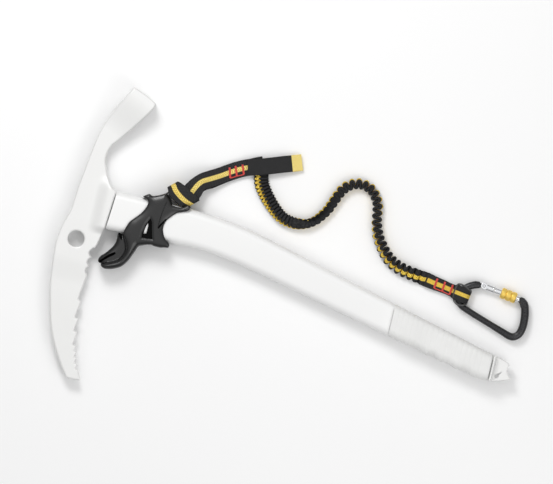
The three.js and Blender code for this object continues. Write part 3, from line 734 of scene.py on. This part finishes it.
def make_strap():
    """Two layers of webbing, of which the lower slips sideways where the strap bends."""
    line, run = draped(STRAP_ROUTE, STRAP_HEIGHTS, 34, 0.8)
    width = np.interp(run, [0, 5, 12, 17, 26, 70, 78, 84, 88],
                      [20.5, 19.8, 17.6, 16.4, 17.4, 17.2, 18.6, 19.2, 17.5])
    ahead = np.gradient(line[:, :2], axis=0)
    right = np.stack([ahead[:, 1], -ahead[:, 0]], axis=1) / np.linalg.norm(ahead, axis=1)[:, None]
    slip = np.interp(run, [0, 10, 17, 26, 40], [0, 0, 1.8, 1.6, 0])
    upper, lower = line.copy(), line.copy()
    thick, half_gap = 2.1, 1.15
    upper[:, 2] += half_gap
    lower[:, 2] -= half_gap
    lower[:, :2] += right * slip[:, None]
    layers = [tape(upper, width, thick), tape(lower, width - 0.5, thick)]
    webbing_piece("leash_strap_doubled", merge_meshes(layers), "strap", ["leash_strap"])


def make_label():
    """The sewn-on tape and its pale end, which overlap by less than a millimetre."""
    line, run = draped(LABEL_ROUTE, LABEL_HEIGHTS, 19, 0.8)
    black = tape(line[run < BLACK_LABEL_TO], LABEL_WIDTH, 1.7)
    pale = tape(line[run > PALE_LABEL_FROM], LABEL_WIDTH, 1.6)
    webbing_piece("label_tape_black", black, "label", ["label_tab"])
    add_piece("label_tape_end", pale, looks["label_end"], "slider")


def stitched_bar(start, end, height, wide):
    """One bar tack, as a low ridge of thread between two points."""
    line, _ = even(np.array([(*start, height), (*end, height)], float), 0.4)
    run = run_of(line)
    taper = np.minimum(1, np.minimum(run, run[-1] - run) / 0.8 + 0.55)
    ripple = 1 + 0.08 * np.sin(run * 2 * math.pi / 0.8)

    def section(i):
        return oval_section(wide / 2 * taper[i] * ripple[i], 0.55 * taper[i], 14, 2.4)

    return sweep(line, section)


def make_tacks(name, bars, heights, node):
    """Three bar tacks across the strap, and the stitching that joins their lower ends."""
    bar_width, joint_width = 2.2, 1.1
    lines = [(a, b, bar_width) for a, b in bars]
    lines += [(bars[i][1], bars[i + 1][1], joint_width) for i in range(2)]
    meshes = []
    for a, b, wide in lines:
        height = float(np.interp((a[0] + b[0]) / 2, *heights))
        meshes.append(stitched_bar(a, b, height, wide))
    return add_piece(name, merge_meshes(meshes), looks["red"], "slider", [node])


# The upper ends and lower ends of the bars, and the heights at places along X.
UPPER_BARS = [((137.7, 108.5), (141, 98)), ((143.3, 111.5), (147, 101.5)), ((150, 114.5), (153.8, 104.8))]
UPPER_BAR_HEIGHTS = ([137, 142, 154], [5.6, 5.2, 5.0])
LOWER_BARS = [((372.5, 46.5), (371.2, 36)), ((381, 45), (380, 34.7)), ((389.5, 44), (388.4, 33))]
LOWER_BAR_HEIGHTS = ([370], [5.15])


# ---------- hitch round the slider's eye ----------

HITCH_CENTRE = (97.5, 71.0)
HITCH_TURN = -30.6
HITCH_SLANT = 42.0


def heading(turn):
    """The level direction at an angle from X, in degrees."""
    return np.array((math.cos(math.radians(turn)), math.sin(math.radians(turn)), 0.0))


def by_hitch(along, across, height):
    """A place given along the hitch's band and along its slanted ends."""
    place = along * heading(HITCH_TURN) + across * heading(HITCH_SLANT)
    return HITCH_CENTRE[0] + place[0], HITCH_CENTRE[1] + place[1], height


def make_hitch():
    """The band, which turns round both edges, and the strap's bight round the eye's bar inside it."""
    # Each place round the band: along it, along its slanted ends, height, width, and stripe shift.
    band = [(-11.6, -0.6, 8, 13.5, 0), (-13.4, -0.6, 11.5, 13, 0), (-13.4, -0.6, 17.5, 13, 0),
            (-11.6, -0.8, 20.9, 15, 0.2), (-7, -1.7, 22.7, 18.6, 1.2), (0, -2.1, 23.1, 19.6, 1.8),
            (7, -2.0, 22.7, 19.6, 1.8), (11.8, -1.2, 20.8, 18.5, 1.4), (13.6, -0.8, 17.5, 17, 1),
            (13.6, -0.8, 11.5, 17, 1), (11.8, -1, 8, 18, 1), (5, -2, 5.7, 19, 1), (-5, -2, 5.7, 18, 0.5)]
    places, _ = even(spline(band + [band[0]], 10), 0.6)
    places = places[:-1]
    line = np.array([by_hitch(*place[:3]) for place in places])
    shifts = places[:, 4] / (2 * places[:, 3])
    loop = tape(line, places[:, 3], 2.1, across=heading(HITCH_SLANT), closed=True, twist=shifts)
    eye_side = np.array((95.4, 64.7))
    strap_side = np.array((104.9, 72.6))
    steps = [(1.0, 16.65), (0.82, 18.4), (0.6, 20.1), (0.35, 20.6), (0.1, 19.2), (0.0, 16.5), (0.0, 11.5),
             (0.1, 8.8), (0.35, 7.5), (0.6, 7.9), (0.82, 10.4), (1.0, 13.0)]
    bight = [(*(eye_side + (strap_side - eye_side) * part), h) for part, h in steps]
    bight_line, bight_run = even(spline(bight, 10), 0.7)
    bight_width = np.interp(bight_run, [0, 10, 16, 24, 34], [20.0, 14.0, 12.0, 14.0, 20.0])
    under = tape(bight_line, bight_width, 2.0, across=heading(HITCH_TURN + 4))
    webbing_piece("leash_hitch_band", merge_meshes([loop, under]), "hitch", ["leash_hitch"])


# ---------- sewn end, loop and keeper ----------

END_ROUTE = [(361.0, 42.9), (370, 41.2), (380, 39.7), (389.5, 38.0), (393.4, 37.2)]
LOOP_TURN = -8.5


def make_end_strap():
    """Two sewn layers, and a loop of one layer that goes round the carabiner's bar."""
    turn = math.radians(LOOP_TURN)
    across = heading(LOOP_TURN + 90)
    upper_height, lower_height, thick = 3.9, 1.6, 2.2
    plan, run = even(spline([(x, y, upper_height) for x, y in END_ROUTE], 10), 0.8)
    width = np.interp(run, [0, 12, 24, 33], [15.2, 14.0, 12.8, 13.2])
    upper = tape(plan, width, thick, across=across)
    under = plan.copy()
    under[:, 2] = lower_height
    lower = tape(under, width - 0.3, thick, across=across)
    centre = (400.2, 36.3)
    ring = [(-9.2, 3.9), (-7.6, 7.6), (-4.6, 11.2), (0.5, 12.3), (5.2, 11.6), (7.6, 8.2), (7.9, 4.6),
            (5.6, 1.8), (0, 1.2), (-5.4, 1.3), (-9.2, 2.0)]
    points = [(centre[0] + a * math.cos(turn), centre[1] + a * math.sin(turn), h) for a, h in ring]
    line, loop_run = even(spline(points, 10), 0.6)
    loop_width = np.interp(loop_run, [0, 8, 20, 34, 42], [13.2, 16.2, 15.8, 13.6, 12.6])
    loop = tape(line, loop_width, 1.9, across=across)
    return [webbing_piece("end_strap_sewn", merge_meshes([upper, lower]), "end", ["end_strap"]),
            webbing_piece("end_loop", loop, "loop")]


def make_keeper():
    """A rubber keeper that holds the loop on the carabiner's bar."""
    points = [(409.4, 40.2, 8.2), (407.6, 42.2, 11.2), (403, 44.6, 12.4), (397.6, 46.2, 11.6),
              (394.2, 45.0, 10.4), (392.9, 41, 9.4), (392.5, 36, 9.2), (392.9, 31, 9.6),
              (394.8, 27.6, 10.6), (398.4, 25.2, 12.2), (402.4, 25.2, 12.6), (406.2, 26.6, 11.4),
              (407.6, 28.4, 8.2)]
    line, _ = even(spline(points, 10), 0.5)
    half = 0.95

    def section(_):
        return oval_section(half, half, 16, 2.3)

    return add_piece("keeper_band", sweep(line, section), looks["rubber"], "slider",
                     ["keeper_ring"])


# ---------- carabiner ----------

FRAME_ROUTE = [(461.9, 44.3), (465.4, 41.6), (467.9, 34.5), (469.2, 26), (469.3, 18), (467.6, 10.8),
               (463.6, 6.5), (458.5, 5.7), (450, 8.3), (430, 14.9), (411, 21.3), (402.5, 25), (398.3, 30),
               (397.7, 36), (400.8, 41.5), (406, 46), (411.6, 49), (416.6, 50.0)]
HINGE = (421.0, 50.0)
GATE_TURN = -8.0
GATE_LENGTH = 39.1


def by_gate(along, across, height=0.0):
    """A place given along the gate from its hinge, across it in plan, and up from its middle."""
    turn = math.radians(GATE_TURN)
    x = HINGE[0] + along * math.cos(turn) - across * math.sin(turn)
    y = HINGE[1] + along * math.sin(turn) + across * math.cos(turn)
    return x, y, RING_MIDDLE + height


GATE_AXIS = (math.cos(math.radians(GATE_TURN)), math.sin(math.radians(GATE_TURN)), 0)


def rod(x, y, radius, low, high):
    """A round upright cutter or boss."""
    tall = high - low
    return turned("rod", [(0, 0), (0, radius), (tall, radius), (tall, 0)], (x, y, low), (0, 0, 1))


def ring_plate(name, points, half, rounding=0.0, steps=6):
    """A plate both sides of the carabiner's middle."""
    return plate(name, points, RING_MIDDLE - half, RING_MIDDLE + half, rounding, steps)


def gate_outline(*corners):
    """An outline from (along, across) places on the gate."""
    return outline([by_gate(a, b)[:2] for a, b in corners])


def make_carabiner_frame():
    """The forged D: a bar that is thicker at its ends, with a hooked nose and the gate's tongue."""
    line, run = even(spline([(x, y, RING_MIDDLE) for x, y in FRAME_ROUTE], 14), 0.7)
    whole = run[-1]
    half_width = np.interp(run, [0, 6, 16, 34, 48, 70, 105, 120, 140, whole - 4, whole],
                           [3.4, 4.1, 4.2, 4.0, 3.8, 3.3, 3.3, 3.7, 3.9, 3.9, 3.4])
    half_height = np.interp(run, [0, 5, 40, 110, whole - 3, whole], [3.3, 4.1, 4.2, 4.2, 4.1, 3.5])

    def section(i):
        return oval_section(half_width[i], half_height[i], 32, 2.4)

    bar = placed("bar", sweep(line, section))
    nose = outline([(460.3, 41.4), (462.5, 37), (468, 36), (468.5, 42), (466, 46), (463.0, 47.5),
                    (460.6, 47.8)])
    stub_profile = [(39.5, 0), (39.5, 3.2), (40.0, 3.4), (44, 3.4), (44, 0)]
    stub = turned("stub", stub_profile, by_gate(0, 0), GATE_AXIS)
    hook = ring_plate("hook", gate_outline((41, -0.6), (41, 2.6), (36, 2.6), (36, -0.6)), 0.9)
    made = join([bar, ring_plate("nose", nose, 3.6, 1.0, 4), stub])
    made = melt(made, voxel=0.3, rounds=5)
    tongue = outline([(412, 47.5), (421, 47.4), (421, 52.6), (412, 51.5)])
    half = 1.2
    knuckle = rod(*HINGE, 2.8, RING_MIDDLE - half, RING_MIDDLE + half)
    made = join([made, hook, ring_plate("tongue", tongue, half), knuckle])
    return finish_piece(made, "carabiner_frame_forged", looks["frame"], "slider",
                        ["carabiner_frame"], 50)


def make_gate():
    """The bright gate tube: forked at its hinge, with a collar and a slotted tip."""
    profile = [(0, 0), (0, 3.5), (10.3, 3.5), (10.5, 3.95), (11.4, 3.95), (11.6, 3.5), (12.4, 3.2),
               (18.4, 3.2), (36.4, 3.2), (36.8, 3.5), (GATE_LENGTH - 0.5, 3.5), (GATE_LENGTH, 3.1),
               (GATE_LENGTH, 0)]
    tube = turned("gate", profile, by_gate(0, 0), GATE_AXIS)
    end = turned("end", [(0, 0), (0, 3.3), (0.5, 3.75), (6.1, 3.75), (6.6, 3.3), (6.6, 0)],
                 (*HINGE, RING_MIDDLE - 3.3), (0, 0, 1))
    made = melt(join([tube, end]), voxel=0.22, rounds=2)
    cutters = [ring_plate("slot", gate_outline((-6, -6), (-6, 6), (3.4, 6), (3.4, -6)), 1.5),
               ring_plate("slot", gate_outline((35, -6), (35, 6), (42, 6), (42, -6)), 1.25),
               rod(*HINGE, 1.45, BELOW, 20), rod(*by_gate(37.4, -1.7)[:2], 0.9, BELOW, 20)]
    made = cut(made, cutters)
    return finish_piece(made, "gate_tube", looks["silver"], "gate", ["gate"], 35)


def make_sleeve():
    """The screw sleeve: three knurled bands between turned grooves."""
    start, end, bore, outer, sides = 18.7, 35.3, 3.9, 5.75, 120
    groove_depth, groove_half = 1.1, 1.5
    band = (end - start) / 3
    along = np.linspace(start, end, 84)
    radius = []
    for a in along:
        into = (a - start) % band if a < end else band
        edge = min(into, band - into)
        radius.append(outer - groove_depth * max(0.0, 1 - edge / groove_half) ** 1.7)
    profile = [(start, bore), *zip(along, radius), (end, bore), (start, bore)]
    thing = turned("sleeve", profile, by_gate(0, 0), GATE_AXIS, sides)
    axis = Vector(GATE_AXIS)
    side = Vector((0, 0, 1)).cross(axis)
    base = at(*by_gate(0, 0))
    knurled_from, teeth, lead, knurl_depth = 5.4, 15, 2.2, 0.16
    for vertex in thing.data.vertices:
        offset = vertex.co - base
        run = offset.dot(axis)
        outwards = offset - axis * run
        if outwards.length > knurled_from * MM:
            turn = math.atan2(outwards.z, outwards.dot(side)) * teeth
            slant = run / MM * lead
            knurl = abs(math.sin(turn + slant)) * abs(math.sin(turn - slant))
            vertex.co -= outwards.normalized() * (1 - knurl) * knurl_depth * MM
    return finish_piece(thing, "screw_sleeve_knurled", looks["sleeve"], "screw_sleeve",
                        ["screw_sleeve"], 30)


# ---------- sliding finger rest ----------

def wall_outline():
    """The cheeks in plan: the crest, the finger hook's outer edge and its ridge."""
    upper = [(57.5, 58.8), (62, 62.3), (64.5, 63), (68, 61.8), (76, 65.2), (79.5, 67), (83, 64.5),
             (86.3, 61), (88.5, 57.8), (92, 56.6), (99, 56.8), (102.5, 59.3), (105.5, 61.3), (108.2, 59.5),
             (107.3, 56), (105, 54), (100, 52), (95, 49.5), (90, 44), (87, 40), (85.5, 33), (87, 27),
             (90, 22), (94, 19), (96, 16), (95, 13)]
    finger = [(65, 8), (62, 0), (60, -5), (57, -11), (52, -17), (45, -20.7), (38, -22.6), (34, -22),
              (31, -19.5)]
    ridge = [(37, -15.5), (43, -13), (48, -9.5), (51, -5), (52.5, 0), (51.5, 5), (49, 11.5), (46.5, 17.5),
             (47, 21), (50, 30), (55, 36), (60, 42), (63.5, 49), (64.3, 54.5), (62, 57.3)]
    tail = [(90, 12.5), (88, 11.5), (80, 11.5), (78, 12.5), (72, 11), (66, 8.5)]
    return outline(spline(upper, 5), tail, spline(finger, 5), spline(ridge, 5))


def rib_outline():
    """The thinner rib in front of the ridge, where the finger rests."""
    front = [(41.3, 17), (41.5, 8), (40, 3), (37, -2), (33, -7), (29, -11), (27.6, -15.3), (29, -17.8)]
    back = [(34, -18.5), (42, -17.5), (50, -12), (55, -4), (57, 3), (58, 16)]
    return outline(spline(front, 5), spline(back, 5))


LUG = outline(spline([(75, 62), (79.5, 67.4), (85, 72), (92, 72), (100, 68.6), (106, 64.5), (108, 60.5),
                      (106.5, 56.6)], 5), [(76, 57)])
EYE = outline(spline([(86.5, 65.5), (88, 61), (91.5, 57.9), (97.5, 57.7), (101.5, 59.3), (101, 62),
                      (96, 64.7), (90, 67.3), (87.2, 67.3)], 5, closed=True))
WINDOW = outline([(69.2, 34.0), (69.9, 31), (69.8, 22.4), (66.9, 21.6), (67.2, 26), (68.2, 31)])
RECESS = outline([(70.4, 39), (72.6, 36), (77.2, 18.2), (65.8, 17.2), (66.0, 24), (67.4, 32)])
SLOT = outline([(28.6, -16.4), (33, -11.2), (37, -7.4), (40.5, -4.6), (43, -3.4), (44.1, -4.6), (42.2, -7),
                (38.4, -9.9), (34.4, -13.4), (30, -18)])
NOTCH = outline([(41.2, 18.5), (44.6, 18.5), (46.8, 12.5), (46.6, 10.2), (45.0, 11.6), (43, 14.5)])
RECESS_FLOOR, SLOT_FLOOR, NOTCH_FLOOR = 11.0, 3.2, 3.0
# The grooves on the cheeks: route, width and depth.
GROOVES = [([(80.6, 31.5), (82, 34), (84, 37.3), (86.3, 41)], 2.2, 2.0),
           ([(80.0, 33.6), (80.4, 42), (81.2, 50), (82.6, 59)], 0.9, 0.8)]
CHANNEL = outline([(0, 16.9), (150, 16.9), (150, 58.2), (0, 58.2)])


def groove(points, wide, height, depth):
    """A cutter that sinks a rounded groove into a face at this height, along a route."""
    line, _ = even(spline([(x, y, height + wide / 2 - depth) for x, y in points], 8), 0.6)
    run = run_of(line)
    taper = np.minimum(1, np.minimum(run, run[-1] - run) / wide + 0.25)

    def section(i):
        return oval_section(wide / 2 * taper[i], wide / 2 * taper[i], 16, 2.0)

    return placed("groove", sweep(line, section))


def crowned(name, points, half, drop, reach, solid_drop=0.0):
    """A plate both sides of the middle, with its faces rounded down towards its outline, more so
    below the channel."""
    thing = melt(plate(name, points, MIDDLE - half, MIDDLE + half), voxel=0.7, rounds=0)
    spots = spots_of(thing.data)
    x, y, z = spots.T
    fall = drop + solid_drop * (1 - smooth_step(y, 6, 17))
    lift = half - fall * (1 - bulge(distance_to(points, x, y), reach))
    spots[:, 2] = MIDDLE + (z - MIDDLE) * lift / half
    put_spots(thing.data, spots)
    return thing


def sink_rim(thing, points, depth, reach):
    """Draws both faces down softly round an opening."""
    spots = spots_of(thing.data)
    x, y, z = spots.T
    near = 1 - np.clip(distance_to(points, x, y) / reach, 0, 1)
    spots[:, 2] = MIDDLE + (z - MIDDLE) * (1 - depth / MIDDLE * near ** 2)
    put_spots(thing.data, spots)
    return thing


def both_faces(name, points, floor):
    """Cutters that sink an outline into both faces, to this far from the middle."""
    return [plate(name, points, MIDDLE + floor, ABOVE), plate(name, points, BELOW, MIDDLE - floor)]


def through(name, points):
    """A cutter that goes all the way through."""
    return plate(name, points, BELOW, ABOVE)


def make_slider():
    """The moulded finger rest: fused from its walls, rib and lug, then cut and grooved."""
    shells = [crowned("walls", wall_outline(), half=MIDDLE, drop=2.7, reach=10.0, solid_drop=3.6),
              crowned("rib", rib_outline(), half=8.5, drop=4.6, reach=7.0),
              crowned("lug", LUG, half=5.0, drop=2.6, reach=3.6)]
    body = melt(join(shells), voxel=0.6, rounds=7)
    body = sink_rim(body, RECESS, depth=1.3, reach=3.2)
    cheek = 3.5
    body = cut(body, [plate("channel", CHANNEL, cheek, WIDTH - cheek), through("eye", EYE),
                      through("window", WINDOW), *both_faces("recess", RECESS, RECESS_FLOOR)])
    cutters = []
    for points, wide, depth in GROOVES:
        cutters += [groove(points, wide, WIDTH, depth), groove(points, wide, 0, wide - depth)]
    cutters += both_faces("notch", NOTCH, NOTCH_FLOOR) + both_faces("slot", SLOT, SLOT_FLOOR)
    piece = finish_piece(cut(body, cutters), "slider_body_moulded", [looks["plastic"], looks["pocket"]],
                         "slider", ["slider_body"], 45)
    # the insides of the recess, slot, notch and grooves get the matt plastic that is painted darker as
    # shade
    piece.data.polygons.foreach_set("material_index", rough_faces(piece.data).astype(np.int32))


def inside(points, x, y):
    """Which places in plan are inside a closed outline."""
    crossings = np.zeros(len(x), int)
    for (ax, ay), (bx, by) in zip(points, np.roll(points, -1, axis=0)):
        if ay != by:
            crossings += ((ay > y) != (by > y)) & (x < ax + (bx - ax) * (y - ay) / (by - ay))
    return crossings % 2 == 1


def rough_faces(mesh):
    """Which faces lie inside a pocket, slot, notch or groove: matt plastic, painted darker as shade."""
    centres = np.empty(len(mesh.polygons) * 3)
    mesh.polygons.foreach_get("center", centres)
    x, y, z = (centres.reshape(-1, 3) / MM + np.array((*DRAWING_CENTRE, 0))).T
    deep = MIDDLE - np.abs(z - MIDDLE)
    rough = np.zeros(len(x), bool)
    margin = 0.25
    for points, below in ((RECESS, 1.4), (SLOT, 7.0), (NOTCH, 5.5)):
        rough |= (deep > below) & inside(grown(points, margin), x, y)
    for points, wide, _ in GROOVES:
        route = spline(points, 4)
        away = np.hypot(route[:, :1] - x, route[:, 1:] - y).min(axis=0)
        rough |= (deep < 3) & (away < wide * 0.45)
    return rough


# ---------- axe ----------

# The point and the root of each tooth.
TEETH = [(34, -130.5, 31, -129.5), (32, -124.5, 28.5, -124), (30, -118.5, 27, -118),
         (28.5, -112.5, 25, -112), (27, -106.5, 22.5, -106), (24.5, -92.5, 20, -92),
         (22.5, -78.5, 18, -78.5), (21, -60.5, 17, -59.5)]
SPINE = [(14, 150), (8, 138), (1, 120), (-3.5, 100), (-7.5, 70), (-10, 50), (-11.5, 30), (-14, 20),
         (-17, 10), (-18.5, 0), (-19, -10), (-17.5, -30), (-15, -50), (-10.5, -70), (-5, -90), (3.5, -110),
         (15.5, -130), (23, -140)]
THROAT = [(22, 64), (19, 69), (16, 75), (12.5, 84), (11.5, 92), (14, 101.5), (18, 107), (27, 118.5),
          (40, 137), (48, 150)]
HEAD_HOLE = (0.7, 0.8, 8.6)
HAMMER_TURN = 62


def scallops():
    """Three shallow hollows between the last tooth and the head."""
    steps, pitch = 10, 9.3
    turns = [(i, k / steps) for i in range(3) for k in range(steps)]
    return [(20.6 - 3.2 * math.sin(part * math.pi), -33 + pitch * (i + part)) for i, part in turns]


def head_width(x, y):
    """The forging's thickness at a place: thin at the pick, full at the hammer and the shoulder."""
    turn = math.radians(HAMMER_TURN)
    up_hammer = (x - 4) * math.cos(turn) + (y - 103) * math.sin(turn)
    width = 4.0 + 5.5 * smooth_step(y, -46, -18)
    width = width + 18.5 * smooth_step(up_hammer, 14, 60)
    shoulder = smooth_step(x, 8, 25) * smooth_step(y, 10, 20) * (1 - smooth_step(y, 58, 74))
    return width + (SHAFT_WIDTH - width) * shoulder


def make_head():
    """The forged head: an even blank, thickened to its true width, then drilled."""
    teeth = [p for x, y, root_x, root_y in TEETH for p in ((x, y), (root_x, root_y))]
    tip = [(25, -141.3), (33, -141.3), (38, -140.5), (38.5, -139.5)]
    shoulder = [(20, -5), (22.5, -4), (23.5, 0), (27, 17), (30, 58), (26, 59.5)]
    hammer_face = [(49.5, 154), (48, 155.5), (38, 161), (30, 164)]
    points = outline([(23, 166.5)], spline(SPINE, 8), tip, teeth, scallops(), shoulder, spline(THROAT, 6),
                     hammer_face)
    blank = 10.0
    head = melt(plate("head", points, MIDDLE - blank / 2, MIDDLE + blank / 2), voxel=0.6, rounds=0)
    spots = spots_of(head.data)
    x, y, z = spots.T
    thickness = head_width(x, y)
    bevel_depth, bevel_reach = 1.3, 1.7
    near_edge = 1 - np.clip(distance_to(points, x, y) / bevel_reach, 0, 1)
    bevel = np.minimum(bevel_depth, thickness * 0.3) * near_edge ** 1.5
    spots[:, 2] = MIDDLE + (z - MIDDLE) * (thickness - 2 * bevel) / blank
    put_spots(head.data, spots)
    hx, hy, radius = HEAD_HOLE
    bore = [(0, 0), (0, radius + 3), (9.0, radius + 1.6), (10.2, radius), (17.8, radius),
            (19.0, radius + 1.6), (WIDTH, radius + 3), (WIDTH, 0)]
    head = cut(head, [turned("bore", bore, (hx, hy, 0), (0, 0, 1), 72)])
    finish_piece(head, "head_forged", looks["steel"], "axe", ["head"])


TOP_SLOPE, FOOT_SLOPE = -0.2475, -0.2225
SHAFT_TOP = [(108, 57.6), (130, 56.3), (150, 54.2), (170, 51), (190, 46.7), (210, 41.8)]
SHAFT_FOOT = [(100, 19), (120, 19.2), (140, 18), (160, 15.2), (180, 11.4), (200, 7.4)]
GRIP_FOOT = [(355, -26.9), (364, -28), (372, -30.2), (379, -33), (386, -32.3), (394, -36), (403, -36.4),
             (412, -40), (422, -40.4), (430, -43.5), (440, -44.5)]
GRIP_START, GRIP_END = 336.0, 446.5
HEAD_RIVETS = ((57, 27), (73, 47))


def top_at(x):
    """The straight lower shaft's upper edge, towards the hammer."""
    return 41.8 + (x - 210) * TOP_SLOPE


def foot_at(x):
    """The straight lower shaft's lower edge, towards the pick."""
    return 7.4 + (x - 200) * FOOT_SLOPE


def make_shaft():
    """The bent tube, which leans forwards where it meets the head's shoulder."""
    foot = [(27.6, 17.2), (60, 17.9), *SHAFT_FOOT, (230, foot_at(230)), (GRIP_START, foot_at(GRIP_START))]
    top = [(27.6, 58), (60, 57.9), *SHAFT_TOP, (230, top_at(230)), (GRIP_START, top_at(GRIP_START))]
    foot, top = spline(foot, 14), spline(top, 14)
    stations = []
    for x in np.linspace(29.4, GRIP_START, 96):
        lean = 1.6 * (1 - smooth_step(x, 30, 60))
        inset = 0.5 if x < 30 else 0
        stations.append((x, np.interp(x, *foot.T), np.interp(x, *top.T), lean, inset))
    shaft = loft("shaft", stations, SHAFT_WIDTH / 2, 8.0)
    radius, deep = 4.45, 3
    pockets = [rod(x, y, radius, low, low + deep) for x, y in HEAD_RIVETS for low in (22.6, 2.4)]
    finish_piece(cut(shaft, pockets), "shaft_tube", looks["paint"], "axe", ["shaft"], 50)


def make_grip():
    """The hand grip: finger bumps below, shallow rings all round and a lip at each end."""
    foot = spline([(GRIP_START, foot_at(GRIP_START)), *GRIP_FOOT, (GRIP_END, -44.4)], 12)
    stations = []
    ring_pitch, ring_depth, plain_end = 5.5, 0.28, 6
    for x in np.linspace(GRIP_START + 0.3, GRIP_END, 240):
        from_end = min(x - GRIP_START, GRIP_END - x)
        lip = 0.9 * max(0.0, 1 - from_end / 1.2)
        wave = math.sin((x - GRIP_START) * 2 * math.pi / ring_pitch)
        ring = ring_depth * max(0.0, wave) if from_end > plain_end else 0
        stations.append((x, np.interp(x, *foot.T), top_at(x), 0, lip + ring))
    finish_piece(loft("grip", stations, WIDTH / 2, 9.0), "grip_moulded", looks["grip"], "axe",
                 ["grip"], 50)


def make_spike():
    """The steel foot: a thin blade with a teardrop hole, and a collar against the grip."""
    blade = outline([(448, -17.2), (460, -20.2), (463, -21.3), (465.3, -23.5), (464.8, -25.5), (464, -28),
                     (464.7, -31), (466.5, -33.5), (469.5, -37), (469, -38.5)],
                    spline([(465, -39.7), (460, -41.5), (455, -43), (450, -43.8), (448, -44)], 6))
    collar = outline([(GRIP_END + 0.2, -17), (450.8, -18), (450.8, -43.4), (GRIP_END + 0.2, -44)])
    tear = outline([(459.5, -31.3)], spline([(456.9, -36), (456.6, -38.6), (454.8, -39.9), (452.9, -38.8),
                                             (452.9, -36.8), (454.4, -35.2)], 6))
    blade_half, collar_half = 4, 11
    made = join([plate("blade", blade, MIDDLE - blade_half, MIDDLE + blade_half, 1.4, 4),
                 plate("collar", collar, MIDDLE - collar_half, MIDDLE + collar_half, 4.0, 5)])
    made = melt(made, voxel=0.4, rounds=4)
    finish_piece(cut(made, [through("tear", tear)]), "spike_forged", looks["steel"], "axe",
                 ["spike"])


def dress(node, look):
    """Gives a CAD part that stays in view its material."""
    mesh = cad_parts[node].data
    mesh.materials.clear()
    mesh.materials.append(look)
    shade(mesh)


# ---------- floor and light ----------

def make_stage():
    """A wide sheet of pale paper to lie on."""
    mesh = bpy.data.meshes.new("floor")
    size = 3.0
    corners = [(-size, -size, 0), (size, -size, 0), (size, size, 0), (-size, size, 0)]
    mesh.from_pydata(corners, [], [(0, 1, 2, 3)])
    n = Nodes("floor_paper")
    paper = n.mix(n.noise(3.0, 2.0), rgb(0.90, 0.90, 0.90), rgb(0.92, 0.92, 0.92))
    mesh.materials.append(n.look(Base_Color=paper, Roughness=0.9))
    placed("floor", mesh)


def area_light(name, place, aim, size, power):
    """A soft round light at a place, turned to its aim."""
    data = bpy.data.lights.new(name, "AREA")
    data.shape = "DISK"
    data.size = size
    data.energy = power
    light = bpy.data.objects.new(name, data)
    light.location = place
    light.rotation_euler = (Vector(aim) - Vector(place)).to_track_quat("-Z", "Y").to_euler()
    bpy.context.scene.collection.objects.link(light)


def make_lights():
    """A soft white dome, dimmer towards the horizon and pale again below it, and two soft lights."""
    world = bpy.data.worlds.new("studio")
    world.use_nodes = True
    tree = world.node_tree
    place = tree.nodes.new("ShaderNodeTexCoord")
    parts = tree.nodes.new("ShaderNodeSeparateXYZ")
    tree.links.new(place.outputs["Generated"], parts.inputs[0])
    total = tree.nodes.new("ShaderNodeMath")
    for i, values in enumerate(((0.2, 0.95, 0.14, 0.95), (-0.02, -0.01, 0.8, 0.0))):
        fade = tree.nodes.new("ShaderNodeMapRange")
        for key, value in zip(("From Min", "From Max", "To Min", "To Max"), values):
            fade.inputs[key].default_value = value
        tree.links.new(parts.outputs[2], fade.inputs["Value"])
        tree.links.new(fade.outputs["Result"], total.inputs[i])
    background = tree.nodes["Background"]
    tree.links.new(total.outputs[0], background.inputs["Strength"])
    background.inputs["Color"].default_value = rgb(1.0, 1.0, 1.0)
    bpy.context.scene.world = world
    area_light("key", (-0.5, 0.75, 1.1), (0, 0, 0), 0.5, 7.5)
    area_light("fill", (0.8, -0.5, 1.2), (0, 0, 0), 0.9, 4.0)
    bpy.context.scene.view_settings.view_transform = "Standard"


# ---------- everything together ----------

make_camera()
elastic, elastic_path = make_elastic()
make_strap()
make_label()
make_tacks("upper_bar_tacks_sewn", UPPER_BARS, UPPER_BAR_HEIGHTS, "upper_bar_tacks")
end_pieces = make_end_strap()
lower_tacks = make_tacks("lower_bar_tacks_sewn", LOWER_BARS, LOWER_BAR_HEIGHTS, "lower_bar_tacks")
keeper = make_keeper()
carabiner = make_carabiner_frame()
gate = make_gate()
sleeve = make_sleeve()
make_hitch()
make_slider()
make_head()
make_shaft()
make_grip()
make_spike()

GATE_PARTS = ("gate_hinge_pin", "gate_latch_pin", "gate_spring", "gate_plunger")
for node_name in GATE_PARTS:
    dress(node_name, looks["silver"])
for node_name in ("head_rivet_1", "head_rivet_2", "spike_rivet"):
    dress(node_name, looks["rivet"])
dress("slider_pad", looks["rubber"])

make_stage()
make_lights()
